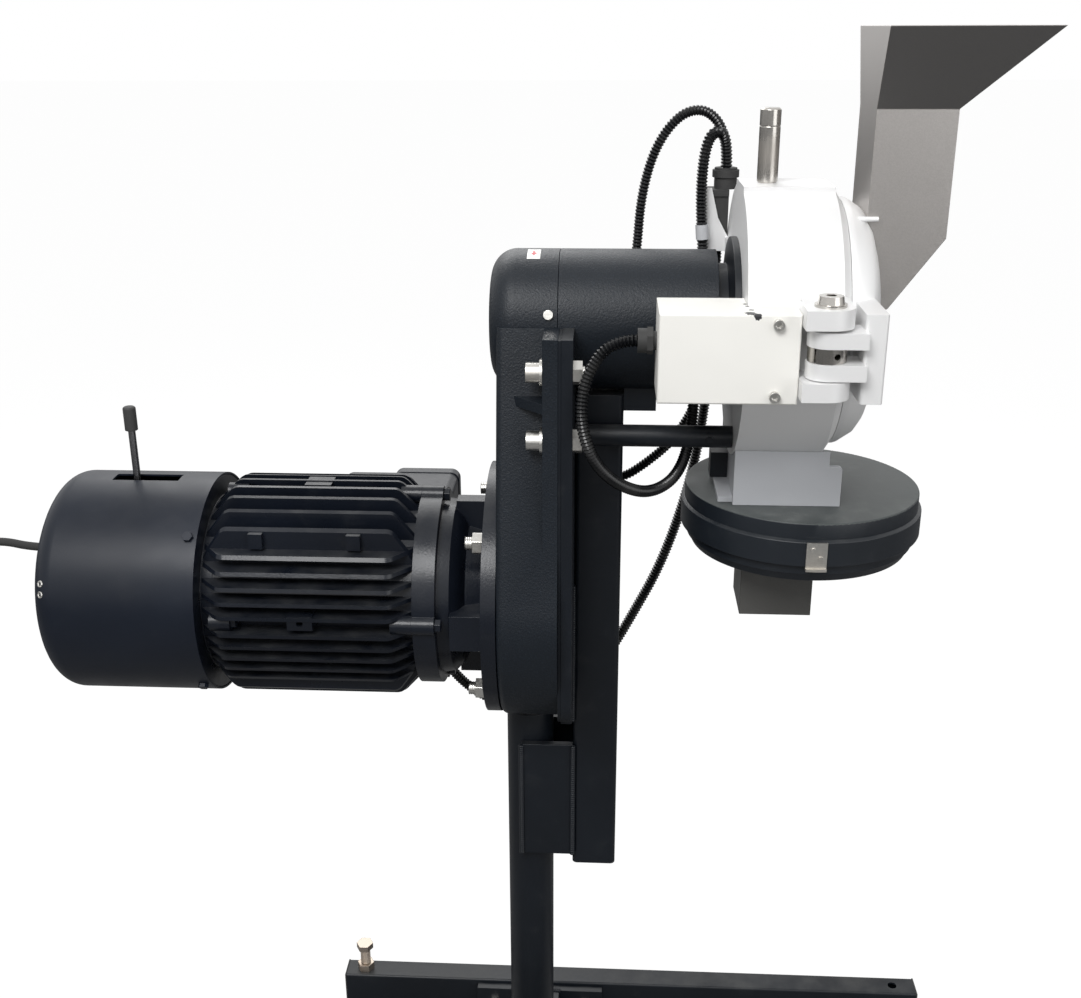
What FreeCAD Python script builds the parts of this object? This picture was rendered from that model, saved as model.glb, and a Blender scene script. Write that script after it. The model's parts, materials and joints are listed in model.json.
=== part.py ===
"""Floor-standing electric grain mill: belt-driven grinding head on a post, with a flanged brake motor.

Frame: X runs along the spindle from the motor to the hopper, Z is up, Y points away from the side
with the switch box.  The origin is on the floor, below the middle of the machine.
All sizes are millimetres.
"""
import FreeCAD, Part
import math
import os
import re

import Sketcher
from FreeCAD import Placement, Rotation, Vector

DIMENSIONS = {
    # Heights of the two shafts above the floor
    "spindle_height": 960,
    "motor_height": 687.5,
    # Frame: two floor rails, cross member, post and beam
    "rail_start": -261,
    "rail_length": 735,
    "rail_width": 30,
    "rail_height": 60,
    "rail_wall": 3,
    "rail_spacing": 332,
    "rail_cap": 2,
    "levelling_x": -235.5,
    "levelling_bolt": 12,
    "levelling_gap": 2,
    "rail_hole": 11,
    "rail_hole_x": 444.5,
    "cross_size": 50,
    "cross_wall": 3,
    "cross_plate_length": 160,
    "cross_plate": 10,
    "post_x": -7,
    "post_diameter": 48.3,
    "post_wall": 3.2,
    "post_top": 552,
    "cheek_plate": 8,
    "cheek_bottom": 390,
    "cheek_top": 523,
    "beam_start": 38.5,
    "beam_depth": 45,
    "beam_width": 60,
    "beam_wall": 4,
    "beam_bottom": 363,
    "beam_top": 895,
    "saddle_length": 30,
    "saddle_width": 50,
    "saddle_bottom": 879,
    # Mounting plate, gasket and drive casing
    "plate_start": 28.5,
    "plate_thickness": 10,
    "plate_half": 112,
    "plate_bottom": 582,
    "plate_top": 966,
    "plate_corner": 30,
    "gasket_thickness": 3,
    "casing_start": -31,
    "casing_depth": 56.5,
    "casing_half": 68,
    "casing_radius": 127.5,
    "casing_wall": 8,
    "belt_way_half": 55,
    "flange_start": 12,
    "notch_radius": 64.8,
    "pilot_radius": 90,
    "bolt_half": 101.5,
    "bolt_upper": 935,
    "bolt_lower": 873,
    "bolt_size": 12,
    # Bearing tube, cap and spindle
    "tube_start": 23.3,
    "tube_length": 141.7,
    "tube_radius": 64.4,
    "tube_bore": 40,
    "cap_start": -39.5,
    "cap_length": 62.5,
    "cap_wall": 4,
    "cap_edge": 24,
    "flange_radius": 76,
    "neck_radius": 52,
    "spindle_radius": 20,
    "bearing_width": 18,
    "shaft_gap": 0.05,
    # Belt drive
    "motor_pulley_radius": 52.5,
    "spindle_pulley_radius": 42,
    "pulley_width": 34,
    "pulley_start": -17,
    "belt_width": 26,
    "belt_start": -13,
    "belt_thickness": 5,
    "belt_gap": 0.4,
    # Mill housing, door and grinding discs
    "drum_start": 183.5,
    "drum_length": 87,
    "drum_radius": 124,
    "drum_rim": 112,
    "drum_rim_depth": 8,
    "chamber_start": 195.5,
    "chamber_radius": 98,
    "door_start": 271,
    "door_depth": 33.5,
    "door_edge": 103,
    "disc_radius": 88,
    "disc_thickness": 12,
    "tooth_height": 7,
    "tooth_width": 6,
    "tooth_count": 20,
    "disc_gap": 1.2,
    "hinge_x": 245.5,
    "hinge_y": -150,
    "hinge_pin": 8,
    "ear_radius": 20,
    "lug_radius": 17,
    "arm_reach": 28,
    "arm_length": 18.5,
    "arm_front": -157,
    "arm_depth": 70,
    "arm_bottom": -34.7,
    "arm_top": 39.5,
    "pin_x": 207,
    "pin_radius": 9.2,
    "pin_length": 64,
    "pin_seat": 20,
    "pin_spigot": 8,
    "pin_shoulder": 1,
    # Hopper
    "hopper_left": 290.5,
    "hopper_right": 359.5,
    "hopper_half": 38.5,
    "hopper_mouth_right": 430,
    "hopper_mouth_half": 67.5,
    "hopper_bend": 1149.2,
    "hopper_top": 1215,
    "hopper_tip_x": 314.5,
    "hopper_tip": 979,
    "hopper_corner": 1041.4,
    "sheet": 2,
    "feed_half": 34,
    # Discharge chute and sieve drum
    "chute_start": 184.5,
    "chute_length": 88.5,
    "chute_half": 66,
    "chute_wall": 4,
    "chute_foot": 13,
    "chute_foot_plate": 5,
    "chute_tab": 38.5,
    "sieve_x": 255.8,
    "sieve_top": 802,
    "lid_radius": 110.7,
    "lid_height": 15,
    "band_radius": 114,
    "band_height": 25,
    "pan_radius": 108,
    "pan_height": 18,
    "spout_start": 200,
    "spout_length": 69,
    "spout_half": 32,
    "spout_bottom": 675.5,
    # Support rod below the spindle
    "rod_radius": 10.2,
    "rod_y": -41.2,
    "rod_height": 860,
    # Motor
    "cowl_start": -474,
    "cowl_length": 158.5,
    "cowl_radius": 110,
    "cowl_sheet": 2,
    "cowl_edge": 22,
    "slot_start": -418.5,
    "slot_length": 66,
    "slot_half": 9,
    "frame_start": -304,
    "frame_length": 192,
    "frame_radius": 88,
    "frame_bore": 80,
    "fin_radius": 109.5,
    "fin_overhang": 10,
    "fin_slope": 20,
    "fin_corner": 12,
    "fin_thickness": 3.6,
    "fin_pitch_top": 17.5,
    "fin_pitch_side": 13.5,
    "shield_depth": 21.5,
    "shield_radius": 98,
    "bell_radius": 88,
    "bell_depth": 25,
    "throat_radius": 62,
    "throat_depth": 22,
    "motor_flange_start": -45,
    "motor_flange_depth": 14,
    "motor_flange_radius": 125,
    "flange_bolt_circle": 107.5,
    "motor_shaft": 14,
    "rotor_radius": 47,
    "stator_bore": 47.6,
    "lever_x": -396.5,
    "lever_pivot": 40,
    "lever_radius": 3.5,
    "terminal_start": -222,
    "terminal_length": 126,
    "terminal_half": 62,
    "terminal_entry": 94,
    "terminal_lid": 54,
    "terminal_depth": 64,
    # Switch box and conduits
    "box_start": 109,
    "box_length": 115,
    "box_front": -152,
    "box_back": -86,
    "box_bottom": 922.5,
    "box_height": 75.5,
    "conduit_radius": 5.2,
    "cable_radius": 4.3,
    # Supply cord
    "cord_radius": 4.25,
    "coil_x": -640,
    "coil_outer": 46.5,
    "coil_pitch": 10.4,
    "coil_layer": 9.6,
    "coil_turns": 2.5,
    "coil_layers": 4,
}

doc = FreeCAD.newDocument("grain_mill")
sizes = doc.addObject("Spreadsheet::Sheet", "Sizes")
WORD = re.compile(r"[A-Za-z_]\w*")
SUB_PARTS = {}


def fill_sheet():
    """Put every driving dimension in the sheet, under its own name."""
    for row, (name, size) in enumerate(DIMENSIONS.items(), start=1):
        sizes.set(f"A{row}", name)
        sizes.set(f"B{row}", str(size))
        sizes.setAlias(f"B{row}", name)
    doc.recompute()


def number(text):
    """Value of a formula written with the sheet's names."""
    return float(sizes.evalExpression(str(text)))


def bind(item, setting, text):
    """Tie one setting of an object to a formula written with the sheet's names."""
    formula = WORD.sub(lambda word: f"Sizes.{word[0]}" if word[0] in DIMENSIONS else word[0], str(text))
    item.setExpression(setting, formula)


def put(item, x=0, y=0, z=0, axis=(0, 0, 1), angle=0):
    """Place an object, turned about an axis through its own origin."""
    item.Placement = Placement(Vector(), Rotation(Vector(*axis), angle))
    for letter, text in zip("xyz", (x, y, z)):
        bind(item, f"Placement.Base.{letter}", text)
    return item


def keep(node, item):
    """Name a finished sub-part, whose label names its file."""
    item.Label = node
    SUB_PARTS[node] = item
    return item


LYING = {"X": ((0, 1, 0), 90), "Y": ((1, 0, 0), -90), "Z": ((0, 0, 1), 0)}


def rod(radius, length, x=0, y=0, z=0, along="Z"):
    """Round bar that starts at a point and runs along one axis."""
    item = doc.addObject("Part::Cylinder", "Bar")
    bind(item, "Radius", radius)
    bind(item, "Height", length)
    return put(item, x, y, z, *LYING[along])


def block(x, y, z, length, width, height):
    """Rectangular block from its lowest corner."""
    item = doc.addObject("Part::Box", "Block")
    bind(item, "Length", length)
    bind(item, "Width", width)
    bind(item, "Height", height)
    return put(item, x, y, z)


def hexagon(radius, length, x, y, z, along="Z"):
    """Hexagonal prism from a point along one axis; the radius is over its corners."""
    item = doc.addObject("Part::Prism", "Hexagon")
    item.Polygon = 6
    bind(item, "Circumradius", radius)
    bind(item, "Height", length)
    return put(item, x, y, z, *LYING[along])


def cone(radius_1, radius_2, length, x, y, z, along="Z"):
    """Round taper from a point along one axis."""
    item = doc.addObject("Part::Cone", "Taper")
    bind(item, "Radius1", radius_1)
    bind(item, "Radius2", radius_2)
    bind(item, "Height", length)
    return put(item, x, y, z, *LYING[along])


def cut(base, *tools):
    """Base without the tools."""
    item = doc.addObject("Part::Cut", "Cut")
    item.Base = base
    item.Tool = tools[0] if len(tools) == 1 else union(*tools)
    return item


def union(*shapes):
    """Shapes joined to one solid."""
    item = doc.addObject("Part::MultiFuse", "Union")
    item.Shapes = list(shapes)
    item.Refine = True
    return item


def shared(*shapes):
    """Space that all the shapes have in common."""
    item = doc.addObject("Part::MultiCommon", "Shared")
    item.Shapes = list(shapes)
    return item


def loose(*shapes):
    """Separate solids kept together as one sub-part."""
    item = doc.addObject("Part::Compound", "Set")
    item.Links = list(shapes)
    return item


def rounded(base, radius, chosen):
    """Base with a radius on the edges that the test picks."""
    doc.recompute()
    item = doc.addObject("Part::Fillet", "Rounded")
    item.Base = base
    size = number(radius)
    item.Edges = [(i, size, size) for i, edge in enumerate(base.Shape.Edges, start=1) if chosen(edge)]
    return item


def outline(body, role, corners, offset=None):
    """Closed outline of straight lines on one of a body's planes, every corner tied to the sheet."""
    sketch = body.newObject("Sketcher::SketchObject", "Outline")
    plane = [feature for feature in body.Origin.OriginFeatures if feature.Role == role][0]
    sketch.AttachmentSupport = [(plane, "")]
    sketch.MapMode = "FlatFace"
    if offset is not None:
        bind(sketch, "AttachmentOffset.Base.z", offset)
    points = [(number(x), number(y)) for x, y in corners]
    count = len(points)
    for i, start in enumerate(points):
        end = points[(i + 1) % count]
        sketch.addGeometry(Part.LineSegment(Vector(*start, 0), Vector(*end, 0)), False)
    for i in range(count):
        sketch.addConstraint(Sketcher.Constraint("Coincident", i, 2, (i + 1) % count, 1))
    for i, corner in enumerate(corners):
        for kind, text, value, axis in zip(("DistanceX", "DistanceY"), corner, points[i], (-2, -1)):
            if abs(value) < 1e-9:
                sketch.addConstraint(Sketcher.Constraint("PointOnObject", i, 1, axis))
            elif value > 0:
                at = sketch.addConstraint(Sketcher.Constraint(kind, -1, 1, i, 1, value))
                bind(sketch, f"Constraints[{at}]", text)
            else:
                at = sketch.addConstraint(Sketcher.Constraint(kind, i, 1, -1, 1, -value))
                bind(sketch, f"Constraints[{at}]", f"-({text})")
    return sketch


def turned(profile, x=0, y=0, z=0, along="X"):
    """Body turned from a profile of (distance along the axis, radius) corners."""
    body = doc.addObject("PartDesign::Body", "Turned")
    sketch = outline(body, "XY_Plane", profile)
    feature = body.newObject("PartDesign::Revolution", "Turning")
    feature.Profile = sketch
    feature.ReferenceAxis = (sketch, ["H_Axis"])
    feature.Angle = 360
    turns = {"X": ((0, 0, 1), 0), "Z": ((0, 1, 0), -90), "Y": ((0, 0, 1), 90)}
    return put(body, x, y, z, *turns[along])


def plate(corners, thickness, role="YZ_Plane", x=0, y=0, z=0, both=False):
    """Body padded from an outline; with both, half of the thickness lies on each side."""
    body = doc.addObject("PartDesign::Body", "Plate")
    sketch = outline(body, role, corners)
    feature = body.newObject("PartDesign::Pad", "Thickness")
    feature.Profile = sketch
    feature.SideType = "Symmetric" if both else "One side"
    bind(feature, "Length", thickness)
    return put(body, x, y, z)


def box_corners(left, right, bottom, top):
    """Corners of a rectangle."""
    return [(left, bottom), (right, bottom), (right, top), (left, top)]


def lengthwise(edge, axis=Vector(1, 0, 0)):
    """True for a straight edge along an axis."""
    straight = edge.Curve.TypeId == "Part::GeomLine"
    return straight and abs(edge.tangentAt(edge.FirstParameter).dot(axis)) > 0.99


def circle_at(axis, place, radius):
    """Test for a full circle at a place along an axis ("x", "y" or "z"), of a given radius."""
    def chosen(edge):
        if edge.Curve.TypeId != "Part::GeomCircle":
            return False
        near = abs(getattr(edge.Curve.Center, axis) - number(place)) < 0.01
        return near and abs(edge.Curve.Radius - number(radius)) < 0.01
    return chosen


def base_frame():
    """Two floor rails, their end caps, the levelling screws and the cross member."""
    inner = "rail_width - 2 * rail_wall"
    for node, side in (("base_rail_front", -1), ("base_rail_rear", 1)):
        edge = f"{side} * (rail_spacing / 2) - rail_width / 2"
        tube = block("rail_start + rail_cap", edge, 0, "rail_length - 2 * rail_cap", "rail_width", "rail_height")
        tube = rounded(tube, 3, lengthwise)
        bore = block("rail_start", f"{edge} + rail_wall", "rail_wall", "rail_length", inner,
                     "rail_height - 2 * rail_wall")
        middle = f"{side} * rail_spacing / 2"
        fixing = rod("rail_hole / 2", "rail_height + 2", "rail_hole_x", middle, -1)
        screw = rod("levelling_bolt / 2 + 0.5", "rail_height + 2", "levelling_x", middle, -1)
        keep(node, cut(tube, bore, fixing, screw))
    caps = []
    for side in (-1, 1):
        edge = f"{side} * (rail_spacing / 2) - rail_width / 2"
        for x, spigot in (("rail_start", "rail_start + rail_cap"),
                          ("rail_start + rail_length - rail_cap", "rail_start + rail_length - rail_cap - 10")):
            face = block(x, edge, 0, "rail_cap", "rail_width", "rail_height")
            tongue = block(spigot, f"{edge} + rail_wall + 0.3", "rail_wall + 0.3", 10, f"{inner} - 0.6",
                           "rail_height - 2 * rail_wall - 0.6")
            caps.append(union(face, tongue))
    keep("rail_end_caps", loose(*caps))
    screws = []
    for side in (-1, 1):
        middle = f"{side} * rail_spacing / 2"
        shank = rod("levelling_bolt / 2", "rail_height + 22 - levelling_gap", "levelling_x", middle, "levelling_gap")
        head = hexagon("levelling_bolt * 0.9", "levelling_bolt * 0.65", "levelling_x", middle, "rail_height + 20")
        nut = hexagon("levelling_bolt * 0.9", "levelling_bolt * 0.8", "levelling_x", middle, "rail_height")
        bore = rod("levelling_bolt / 2 + 0.05", "levelling_bolt", "levelling_x", middle, "rail_height - 1")
        screws += [union(shank, head), cut(nut, bore)]
    keep("levelling_screws", loose(*screws))
    cross_member()


def cross_member():
    """Square tube between the rails with a bolted plate at each end, and the plates' screws."""
    reach = "(rail_spacing - rail_width) / 2"
    lift = "rail_height / 2 - cross_size / 2"
    tube = block("post_x - cross_size / 2", f"-({reach}) + cross_plate / 2", lift, "cross_size",
                 f"2 * ({reach}) - cross_plate", "cross_size")
    bore = block("post_x - cross_size / 2 + cross_wall", f"-({reach})", f"{lift} + cross_wall",
                 "cross_size - 2 * cross_wall", f"2 * ({reach})", "cross_size - 2 * cross_wall")
    plates = []
    holes = []
    screws = []
    for side, start in ((-1, f"-({reach})"), (1, f"{reach} - cross_plate")):
        plates.append(block("post_x - cross_plate_length / 2", start, lift, "cross_plate_length", "cross_plate",
                            "cross_size"))
        for end in (-1, 1):
            x = f"post_x + {end} * (cross_plate_length / 2 - 22)"
            holes.append(rod(5.5, "cross_plate + 2", x, f"{start} - 1", "rail_height / 2", "Y"))
            inner = f"{start} - 7" if side > 0 else f"{start} + cross_plate"
            shank = f"{start} - 7" if side > 0 else f"{start} - rail_wall"
            screws.append(union(hexagon(9.5, 7, x, inner, "rail_height / 2", "Y"),
                                rod(5, "cross_plate + 7", x, shank, "rail_height / 2", "Y")))
    rail_bores = [rod(5.5, 8, f"post_x + {end} * (cross_plate_length / 2 - 22)",
                      f"{side} * ({reach}) - 4", "rail_height / 2", "Y")
                  for side in (-1, 1) for end in (-1, 1)]
    for node in ("base_rail_front", "base_rail_rear"):
        keep(node, cut(SUB_PARTS[node], *rail_bores))
    keep("cross_member", cut(union(cut(tube, bore), *plates), *holes))
    keep("flange_bolts", loose(*screws))


def column():
    """Round post, cheek plates and the rectangular beam that carries the head."""
    foot = "rail_height / 2 + cross_size / 2"
    tube = rod("post_diameter / 2", f"post_top - ({foot})", "post_x", 0, foot)
    bore = rod("post_diameter / 2 - post_wall", "post_top", "post_x", 0, foot)
    lid = rod("post_diameter / 2", 4, "post_x", 0, "post_top - 4")
    keep("post", union(cut(tube, bore), lid))
    cheeks = []
    for start in ("-(post_diameter / 2 + cheek_plate)", "post_diameter / 2"):
        cheek = block("post_x - 8", start, "cheek_bottom", "beam_start - post_x + 8", "cheek_plate",
                      "cheek_top - cheek_bottom")
        cheeks.append(cheek)
    keep("post_cheeks", loose(*cheeks))
    beam = block("beam_start", "-beam_width / 2", "beam_bottom", "beam_depth", "beam_width",
                 "beam_top - beam_bottom")
    beam = rounded(beam, 5, lambda edge: lengthwise(edge, Vector(0, 0, 1)))
    bore = block("beam_start + beam_wall", "-beam_width / 2 + beam_wall", "beam_bottom - 1",
                 "beam_depth - 2 * beam_wall", "beam_width - 2 * beam_wall", "beam_top - beam_bottom - 5")
    support = block("beam_start + beam_depth", "-saddle_width / 2", "saddle_bottom", "saddle_length",
                    "saddle_width", "spindle_height - saddle_bottom - 50")
    seat = rod("tube_radius", "tube_length", "tube_start", 0, "spindle_height", "X")
    keep("column_beam", cut(union(cut(beam, bore), support), seat))


def casing_bolt_places():
    """Side and height of the four screws that hold the casing to the plate."""
    return [(f"{side} * bolt_half", height) for side in (-1, 1) for height in ("bolt_upper", "bolt_lower")]


def mounting():
    """Mounting plate and its gasket, both notched for the bearing tube."""
    for node, start, thickness, inset in (("mounting_plate", "plate_start", "plate_thickness", 0),
                                          ("casing_gasket", "plate_start - gasket_thickness",
                                           "gasket_thickness", 2.5)):
        half = f"plate_half - {inset}"
        sheet_plate = plate(box_corners(f"-({half})", half, f"plate_bottom + {2 * inset}", f"plate_top - {inset}"),
                            thickness, x=start)
        blank = rounded(sheet_plate, f"plate_corner - {inset}",
                        lambda edge: lengthwise(edge) and edge.CenterOfMass.z < number("motor_height"))
        notch = rod("notch_radius", 40, f"({start}) - 5", 0, "spindle_height", "X")
        holes = [rod("bolt_size / 2 + 0.5", 40, f"({start}) - 5", y, height, "X")
                 for y, height in casing_bolt_places()]
        keep(node, cut(blank, notch, *holes))


def drive_casing():
    """Cast belt casing: a round bottom about the motor shaft, tapering to the spindle, with two ears."""
    rise = "(plate_top - motor_height)"
    span = f"(casing_half ^ 2 + {rise} ^ 2)"
    root = f"sqrt({span} - casing_radius ^ 2)"
    side_y = f"(casing_radius ^ 2 * casing_half + casing_radius * {root} * {rise}) / {span}"
    side_z = f"(casing_radius ^ 2 * {rise} - casing_radius * {root} * casing_half) / {span}"
    round_end = rod("casing_radius", "casing_depth", "casing_start", 0, "motor_height", "X")
    tapered = plate([(f"-({side_y})", side_z), (side_y, side_z), ("casing_half", rise), ("-casing_half", rise)],
                    "casing_depth", x="casing_start", z="motor_height")
    ears = block("flange_start", "-plate_half", "motor_height", "casing_start + casing_depth - flange_start",
                 "2 * plate_half", rise)
    body = rounded(union(round_end, tapered), 7, lambda edge: abs(edge.CenterOfMass.x - number("casing_start")) < 0.01
                   and edge.CenterOfMass.z < number("plate_top - 5"))
    ribs = []
    for side in (-1, 1):
        rib = plate([(0, f"{side} * (casing_half - 4)"), ("flange_start - casing_start", f"{side} * (casing_half - 4)"),
                     ("flange_start - casing_start", f"{side} * (plate_half - 3)")], 9, "XY_Plane",
                    x="casing_start", z="bolt_lower + 26")
        ribs.append(rib)
    chamber = plate([("-belt_way_half", "-casing_radius / 2"), ("belt_way_half", "-casing_radius / 2"),
                     ("belt_way_half", f"{rise} + 5"), ("-belt_way_half", f"{rise} + 5")],
                    "casing_depth", x="casing_start + casing_wall", z="motor_height")
    belly = rod("casing_radius - casing_wall - 18", "casing_depth", "casing_start + casing_wall", 0,
                "motor_height", "X")
    pilot = rod("throat_radius", 20, "casing_start - 5", 0, "motor_height", "X")
    notch = rod("notch_radius", "casing_depth + 10", "casing_start - 5", 0, "spindle_height", "X")
    holes = [rod("bolt_size / 2 + 0.5", 80, "casing_start", y, height, "X") for y, height in casing_bolt_places()]
    keep("drive_casing", cut(union(body, ears, *ribs), chamber, belly, pilot, notch, *holes))


def casing_bolts():
    """Socket-head screws with washers in front of the casing's ears and nuts behind the plate."""
    pieces = []
    washer = 2.5
    head = 12
    nut = 8
    for y, height in casing_bolt_places():
        seat = "plate_start + plate_thickness"
        cap = rod("bolt_size * 0.75", head, f"flange_start - {washer + head}", y, height, "X")
        socket = hexagon("bolt_size * 0.48", 6, f"flange_start - {washer + head} - 0.5", y, height, "X")
        shank = rod("bolt_size / 2", f"{seat} - flange_start + {washer + nut + 2}", f"flange_start - {washer}", y,
                    height, "X")
        pieces.append(union(cut(cap, socket), shank))
        disc = rod("bolt_size", washer, f"flange_start - {washer}", y, height, "X")
        bore = rod("bolt_size / 2 + 0.05", 60, f"flange_start - {washer}", y, height, "X")
        pieces.append(cut(disc, bore))
        pieces.append(cut(hexagon("bolt_size * 0.9", nut, seat, y, height, "X"), bore))
    keep("casing_bolts", loose(*pieces))


def spindle_head():
    """Cap over the upper pulley, the bearing tube behind it and the flange that carries the mill."""
    shell = turned([(0, 0), ("cap_length", 0), ("cap_length", "tube_radius"), (0, "tube_radius")],
                   x="cap_start", z="spindle_height")
    shell = rounded(shell, "cap_edge", circle_at("x", "cap_start", "tube_radius"))
    hollow = rod("tube_radius - cap_wall", "cap_length", "cap_start + cap_wall + 2", 0, "spindle_height", "X")
    belt_way = block("casing_start + casing_wall", "-belt_way_half", "spindle_height - tube_radius - 5",
                     "cap_length", "2 * belt_way_half", "tube_radius")
    keep("belt_cover_cap", cut(shell, hollow, belt_way))
    tube = turned([(0, "tube_bore - 12"), ("bearing_width", "tube_bore - 12"), ("bearing_width", "tube_bore - 6"),
                   ("tube_length - bearing_width - 4", "tube_bore - 6"),
                   ("tube_length - bearing_width - 4", "tube_bore"), ("tube_length - 4", "tube_bore"),
                   ("tube_length", "tube_bore"), ("tube_length", "tube_radius"), (0, "tube_radius")],
                  x="tube_start", z="spindle_height")
    seat = rod("tube_bore", "bearing_width + 4", "tube_start - 1", 0, "spindle_height", "X")
    keep("bearing_tube", cut(tube, seat))
    start = "tube_start + tube_length"
    reach = f"drum_start - ({start})"
    keep("spindle_flange", turned([(0, "spindle_radius + 6"), (reach, "spindle_radius + 6"), (reach, "flange_radius"),
                                   (f"{reach} - 6", "flange_radius"), (f"{reach} - 9", "neck_radius"),
                                   (0, "neck_radius")], x=start, z="spindle_height"))


def bearing(bore, outer, width, x, z):
    """Ball bearing: two races with a groove between them and a ring of balls, joined as one piece."""
    middle = f"(({bore}) + ({outer})) / 2"
    race = turned([(0, bore), (width, bore), (width, f"{middle} - 3"), (f"({width}) - 3", f"{middle} - 3"),
                   (f"({width}) - 3", f"{middle} + 3"), (width, f"{middle} + 3"), (width, outer), (0, outer),
                   (0, f"{middle} + 3"), (3, f"{middle} + 3"), (3, f"{middle} - 3"), (0, f"{middle} - 3")],
                  x=x, z=z)
    return race


def bearings():
    """Two bearings on the spindle and two on the motor shaft."""
    spindle_bore = "spindle_radius + shaft_gap"
    motor_bore = "motor_shaft + 6 + shaft_gap"
    last = "tube_start + tube_length - bearing_width - 4"
    keep("shaft_bearings", loose(
        bearing(spindle_bore, "tube_bore", "bearing_width", "tube_start + 3", "spindle_height"),
        bearing(spindle_bore, "tube_bore", "bearing_width", last, "spindle_height"),
        bearing(motor_bore, 40, 16, "frame_start - 10", "motor_height"),
        bearing(motor_bore, 40, 16, "frame_start + frame_length + 4", "motor_height")))


def mill_housing():
    """Drum with a flat pad on top, an open chamber towards the door, a discharge hole and hinge ears."""
    drum = turned([(0, 0), ("drum_length", 0), ("drum_length", "drum_rim"),
                   ("drum_length - drum_rim_depth", "drum_radius"), (0, "drum_radius")],
                  x="drum_start", z="spindle_height")
    pad = block("drum_start", -34, "spindle_height + drum_radius - 14", "drum_length - drum_rim_depth", 68, 14.4)
    chamber = rod("chamber_radius", 100, "chamber_start", 0, "spindle_height", "X")
    shaft_hole = rod("spindle_radius + 3", 40, "drum_start - 5", 0, "spindle_height", "X")
    outlet = block("chamber_start", "-chute_half + chute_wall + 8", "spindle_height - drum_radius - 10",
                   "drum_start + drum_length - chamber_start - 10", "2 * (chute_half - chute_wall - 8)", 90)
    pin_seat = rod("pin_spigot", 100, "pin_x", 0, "spindle_height + drum_radius + 0.4 - pin_seat")
    ears = []
    for bottom, top in hinge_levels()[0::3]:
        height = f"({top}) - ({bottom})"
        z = f"spindle_height + ({bottom})"
        ears.append(rod("ear_radius", height, "hinge_x", "hinge_y", z))
        ears.append(block("hinge_x - ear_radius", "hinge_y", z, "2 * ear_radius", 60, height))
        ears.append(block("box_start + box_length + 0.3", "hinge_y - ear_radius", z,
                          "hinge_x - box_start - box_length - 0.3", "2 * ear_radius", height))
    web = block("hinge_x - ear_radius", "hinge_y + 26", f"spindle_height + ({hinge_levels()[0][0]})",
                "2 * ear_radius", 34, f"({hinge_levels()[3][1]}) - ({hinge_levels()[0][0]})")
    pin_hole = rod("hinge_pin", 200, "hinge_x", "hinge_y", "spindle_height - 100")
    solid = union(drum, pad, web, *ears)
    keep("mill_housing", cut(solid, chamber, shaft_hole, outlet, pin_seat, pin_hole))


def hinge_levels():
    """Bottom and top of the four hinge leaves, measured from the spindle: ear, lug, lug, ear."""
    return [("-30", "-14.4"), ("-13.4", "0.2"), ("13", "26.3"), ("28.7", "44.7")]


def hinge():
    """Fixed hinge pin with its head and washer, and the clamped collar between the door's lugs."""
    top = f"spindle_height + {hinge_levels()[3][1]}"
    bottom = f"spindle_height + ({hinge_levels()[0][0]})"
    shank = rod("hinge_pin", f"({top}) - ({bottom})", "hinge_x", "hinge_y", bottom)
    washer = rod(13, 2.4, "hinge_x", "hinge_y", top)
    head = cone(11, 10, 6.5, "hinge_x", "hinge_y", f"{top} + 2.4")
    socket = hexagon(4.6, 5, "hinge_x", "hinge_y", f"{top} + 5")
    pin = cut(union(shank, washer, head), socket)
    gap = 0.4
    low = f"spindle_height + ({hinge_levels()[1][1]}) + {gap}"
    tall = f"{hinge_levels()[2][0]} - ({hinge_levels()[1][1]}) - {2 * gap}"
    ring = rod(16, tall, "hinge_x", "hinge_y", low)
    bore = rod("hinge_pin + 0.02", 40, "hinge_x", "hinge_y", f"{low} - 5")
    cross_hole = rod(2.6, 20, "hinge_x + 6", "hinge_y - 20", f"{low} + ({tall}) / 2", "Y")
    slit = block("hinge_x - 12", "hinge_y - 20", low, 1.2, 20, tall)
    keep("hinge_pin", loose(pin, cut(ring, bore, cross_hole, slit)))


def locating_pin():
    """Polished pin in the housing's flat top, with a chamfered tip and a fine groove."""
    profile = [(0, 0), ("pin_length + pin_seat", 0), ("pin_length + pin_seat", "pin_radius - 1.6"),
               ("pin_length + pin_seat - 1.6", "pin_radius"), ("pin_length + pin_seat - 15", "pin_radius"),
               ("pin_length + pin_seat - 15.5", "pin_radius - 0.5"),
               ("pin_length + pin_seat - 16", "pin_radius"), ("pin_seat + pin_shoulder", "pin_radius"),
               ("pin_seat + pin_shoulder", "pin_spigot"), (0, "pin_spigot")]
    keep("locating_pin", turned(profile, "pin_x", 0, "spindle_height + drum_radius + 0.4 - pin_seat", "Z"))


def door_profile():
    """Section of the door: a rounded rim and a shallow dome towards the hopper."""
    return [(0, 0), ("door_depth", 0), ("door_depth", 58), ("door_depth - 3.5", 80),
            ("door_depth - 8.5", "door_edge - 8"), ("door_depth - 14", "door_edge"), (7, "drum_rim - 1"),
            (4, "drum_rim"), (0, "drum_rim")]


def feed_hole():
    """Slanted feed passage through the door, from the hopper to the middle of the grinding discs."""
    low = "spindle_height - 22"
    high = "hopper_tip + 52"
    return plate([("door_start - 20", low), ("door_start + 12", low), ("door_start + 45", "hopper_tip + 6"),
                  ("door_start + 45", high), ("door_start + 12", high), ("door_start - 20", "spindle_height + 22")],
                 "2 * feed_half - 24", "XZ_Plane", both=True)


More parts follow.
